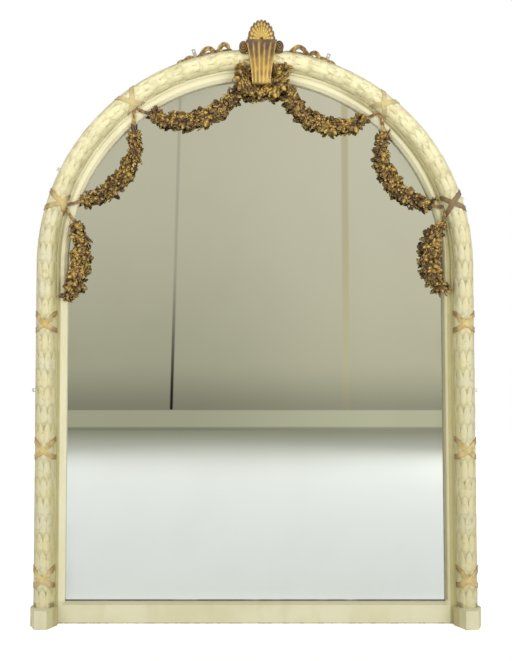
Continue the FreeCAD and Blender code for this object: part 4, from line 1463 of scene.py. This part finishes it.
        world = bpy.data.worlds.new("stage_world")
        scene.world = world
        world.use_nodes = True
        tree = world.node_tree
        tree.nodes.clear()
        level = calc(tree, "MULTIPLY_ADD", self.seen(tree), 1.0 - stage.ambient, stage.ambient)
        sky = add(tree, "ShaderNodeBackground", {"Color": (1, 1, 1, 1), "Strength": level})
        add(tree, "ShaderNodeOutputWorld", {"Surface": sky.outputs[0]})

        self.lamp("key", stage.key, place=(3.3, -5.0, 2.0), target=(0, 0, 1.2), size=1.8)
        self.lamp("fill", stage.fill, place=(-3.0, -5.0, 2.0), target=(0, 0, 1.2), size=1.8)
        low = self.lamp("foot", stage.foot, place=(0.0, -3.2, 0.7), target=(0, 0, 2.8), size=1.0,
                        spread=math.radians(110))
        low.visible_glossy = False

        camera = bpy.data.cameras.new("camera")
        camera.lens = stage.camera_lens
        camera.sensor_width = 36.0
        camera.sensor_fit = "AUTO"
        camera.shift_x = stage.camera_shift
        viewer = bpy.data.objects.new("camera", camera)
        viewer.location = stage.camera_place
        viewer.rotation_euler = (math.pi / 2 + stage.camera_pitch, 0, 0)
        scene.collection.objects.link(viewer)
        scene.camera = viewer
        scene.view_settings.view_transform = "Standard"
        return {"FINISHED"}


operators = (
    OVERMANTEL_OT_frame, OVERMANTEL_OT_fittings, OVERMANTEL_OT_laurel, OVERMANTEL_OT_joints,
    OVERMANTEL_OT_ties, OVERMANTEL_OT_hangers, OVERMANTEL_OT_swags, OVERMANTEL_OT_keystone,
    OVERMANTEL_OT_volutes, OVERMANTEL_OT_shell, OVERMANTEL_OT_bows, OVERMANTEL_OT_plate, OVERMANTEL_OT_stage)


class OVERMANTEL_PT_panel(bpy.types.Panel):
    """Lists the pieces in the order in which they are made"""
    bl_label = "Overmantel Mirror"
    bl_idname = "OVERMANTEL_PT_panel"
    bl_space_type = "VIEW_3D"
    bl_region_type = "UI"
    bl_category = "Mirror"

    def draw(self, context):
        for operator in operators:
            self.layout.operator(operator.bl_idname)


classes = (
    PaintSettings, GiltSettings, MetalSettings, LaurelSettings, RibbonSettings, SwagSettings, CrestSettings,
    PlateSettings, StageSettings, OvermantelSettings) + operators + (OVERMANTEL_PT_panel,)


def register():
    for item in classes:
        bpy.utils.register_class(item)
    bpy.types.Scene.overmantel = PointerProperty(type=OvermantelSettings)


def unregister():
    del bpy.types.Scene.overmantel
    for item in reversed(classes):
        bpy.utils.unregister_class(item)


def main():
    register()
    bpy.ops.overmantel.frame()
    bpy.ops.overmantel.fittings()
    bpy.ops.overmantel.laurel()
    bpy.ops.overmantel.joints()
    bpy.ops.overmantel.ties()
    bpy.ops.overmantel.hangers()
    bpy.ops.overmantel.swags()
    bpy.ops.overmantel.keystone()
    bpy.ops.overmantel.volutes()
    bpy.ops.overmantel.shell()
    bpy.ops.overmantel.bows()
    bpy.ops.overmantel.plate()
    bpy.ops.overmantel.stage()


if __name__ == "__main__":
    main()
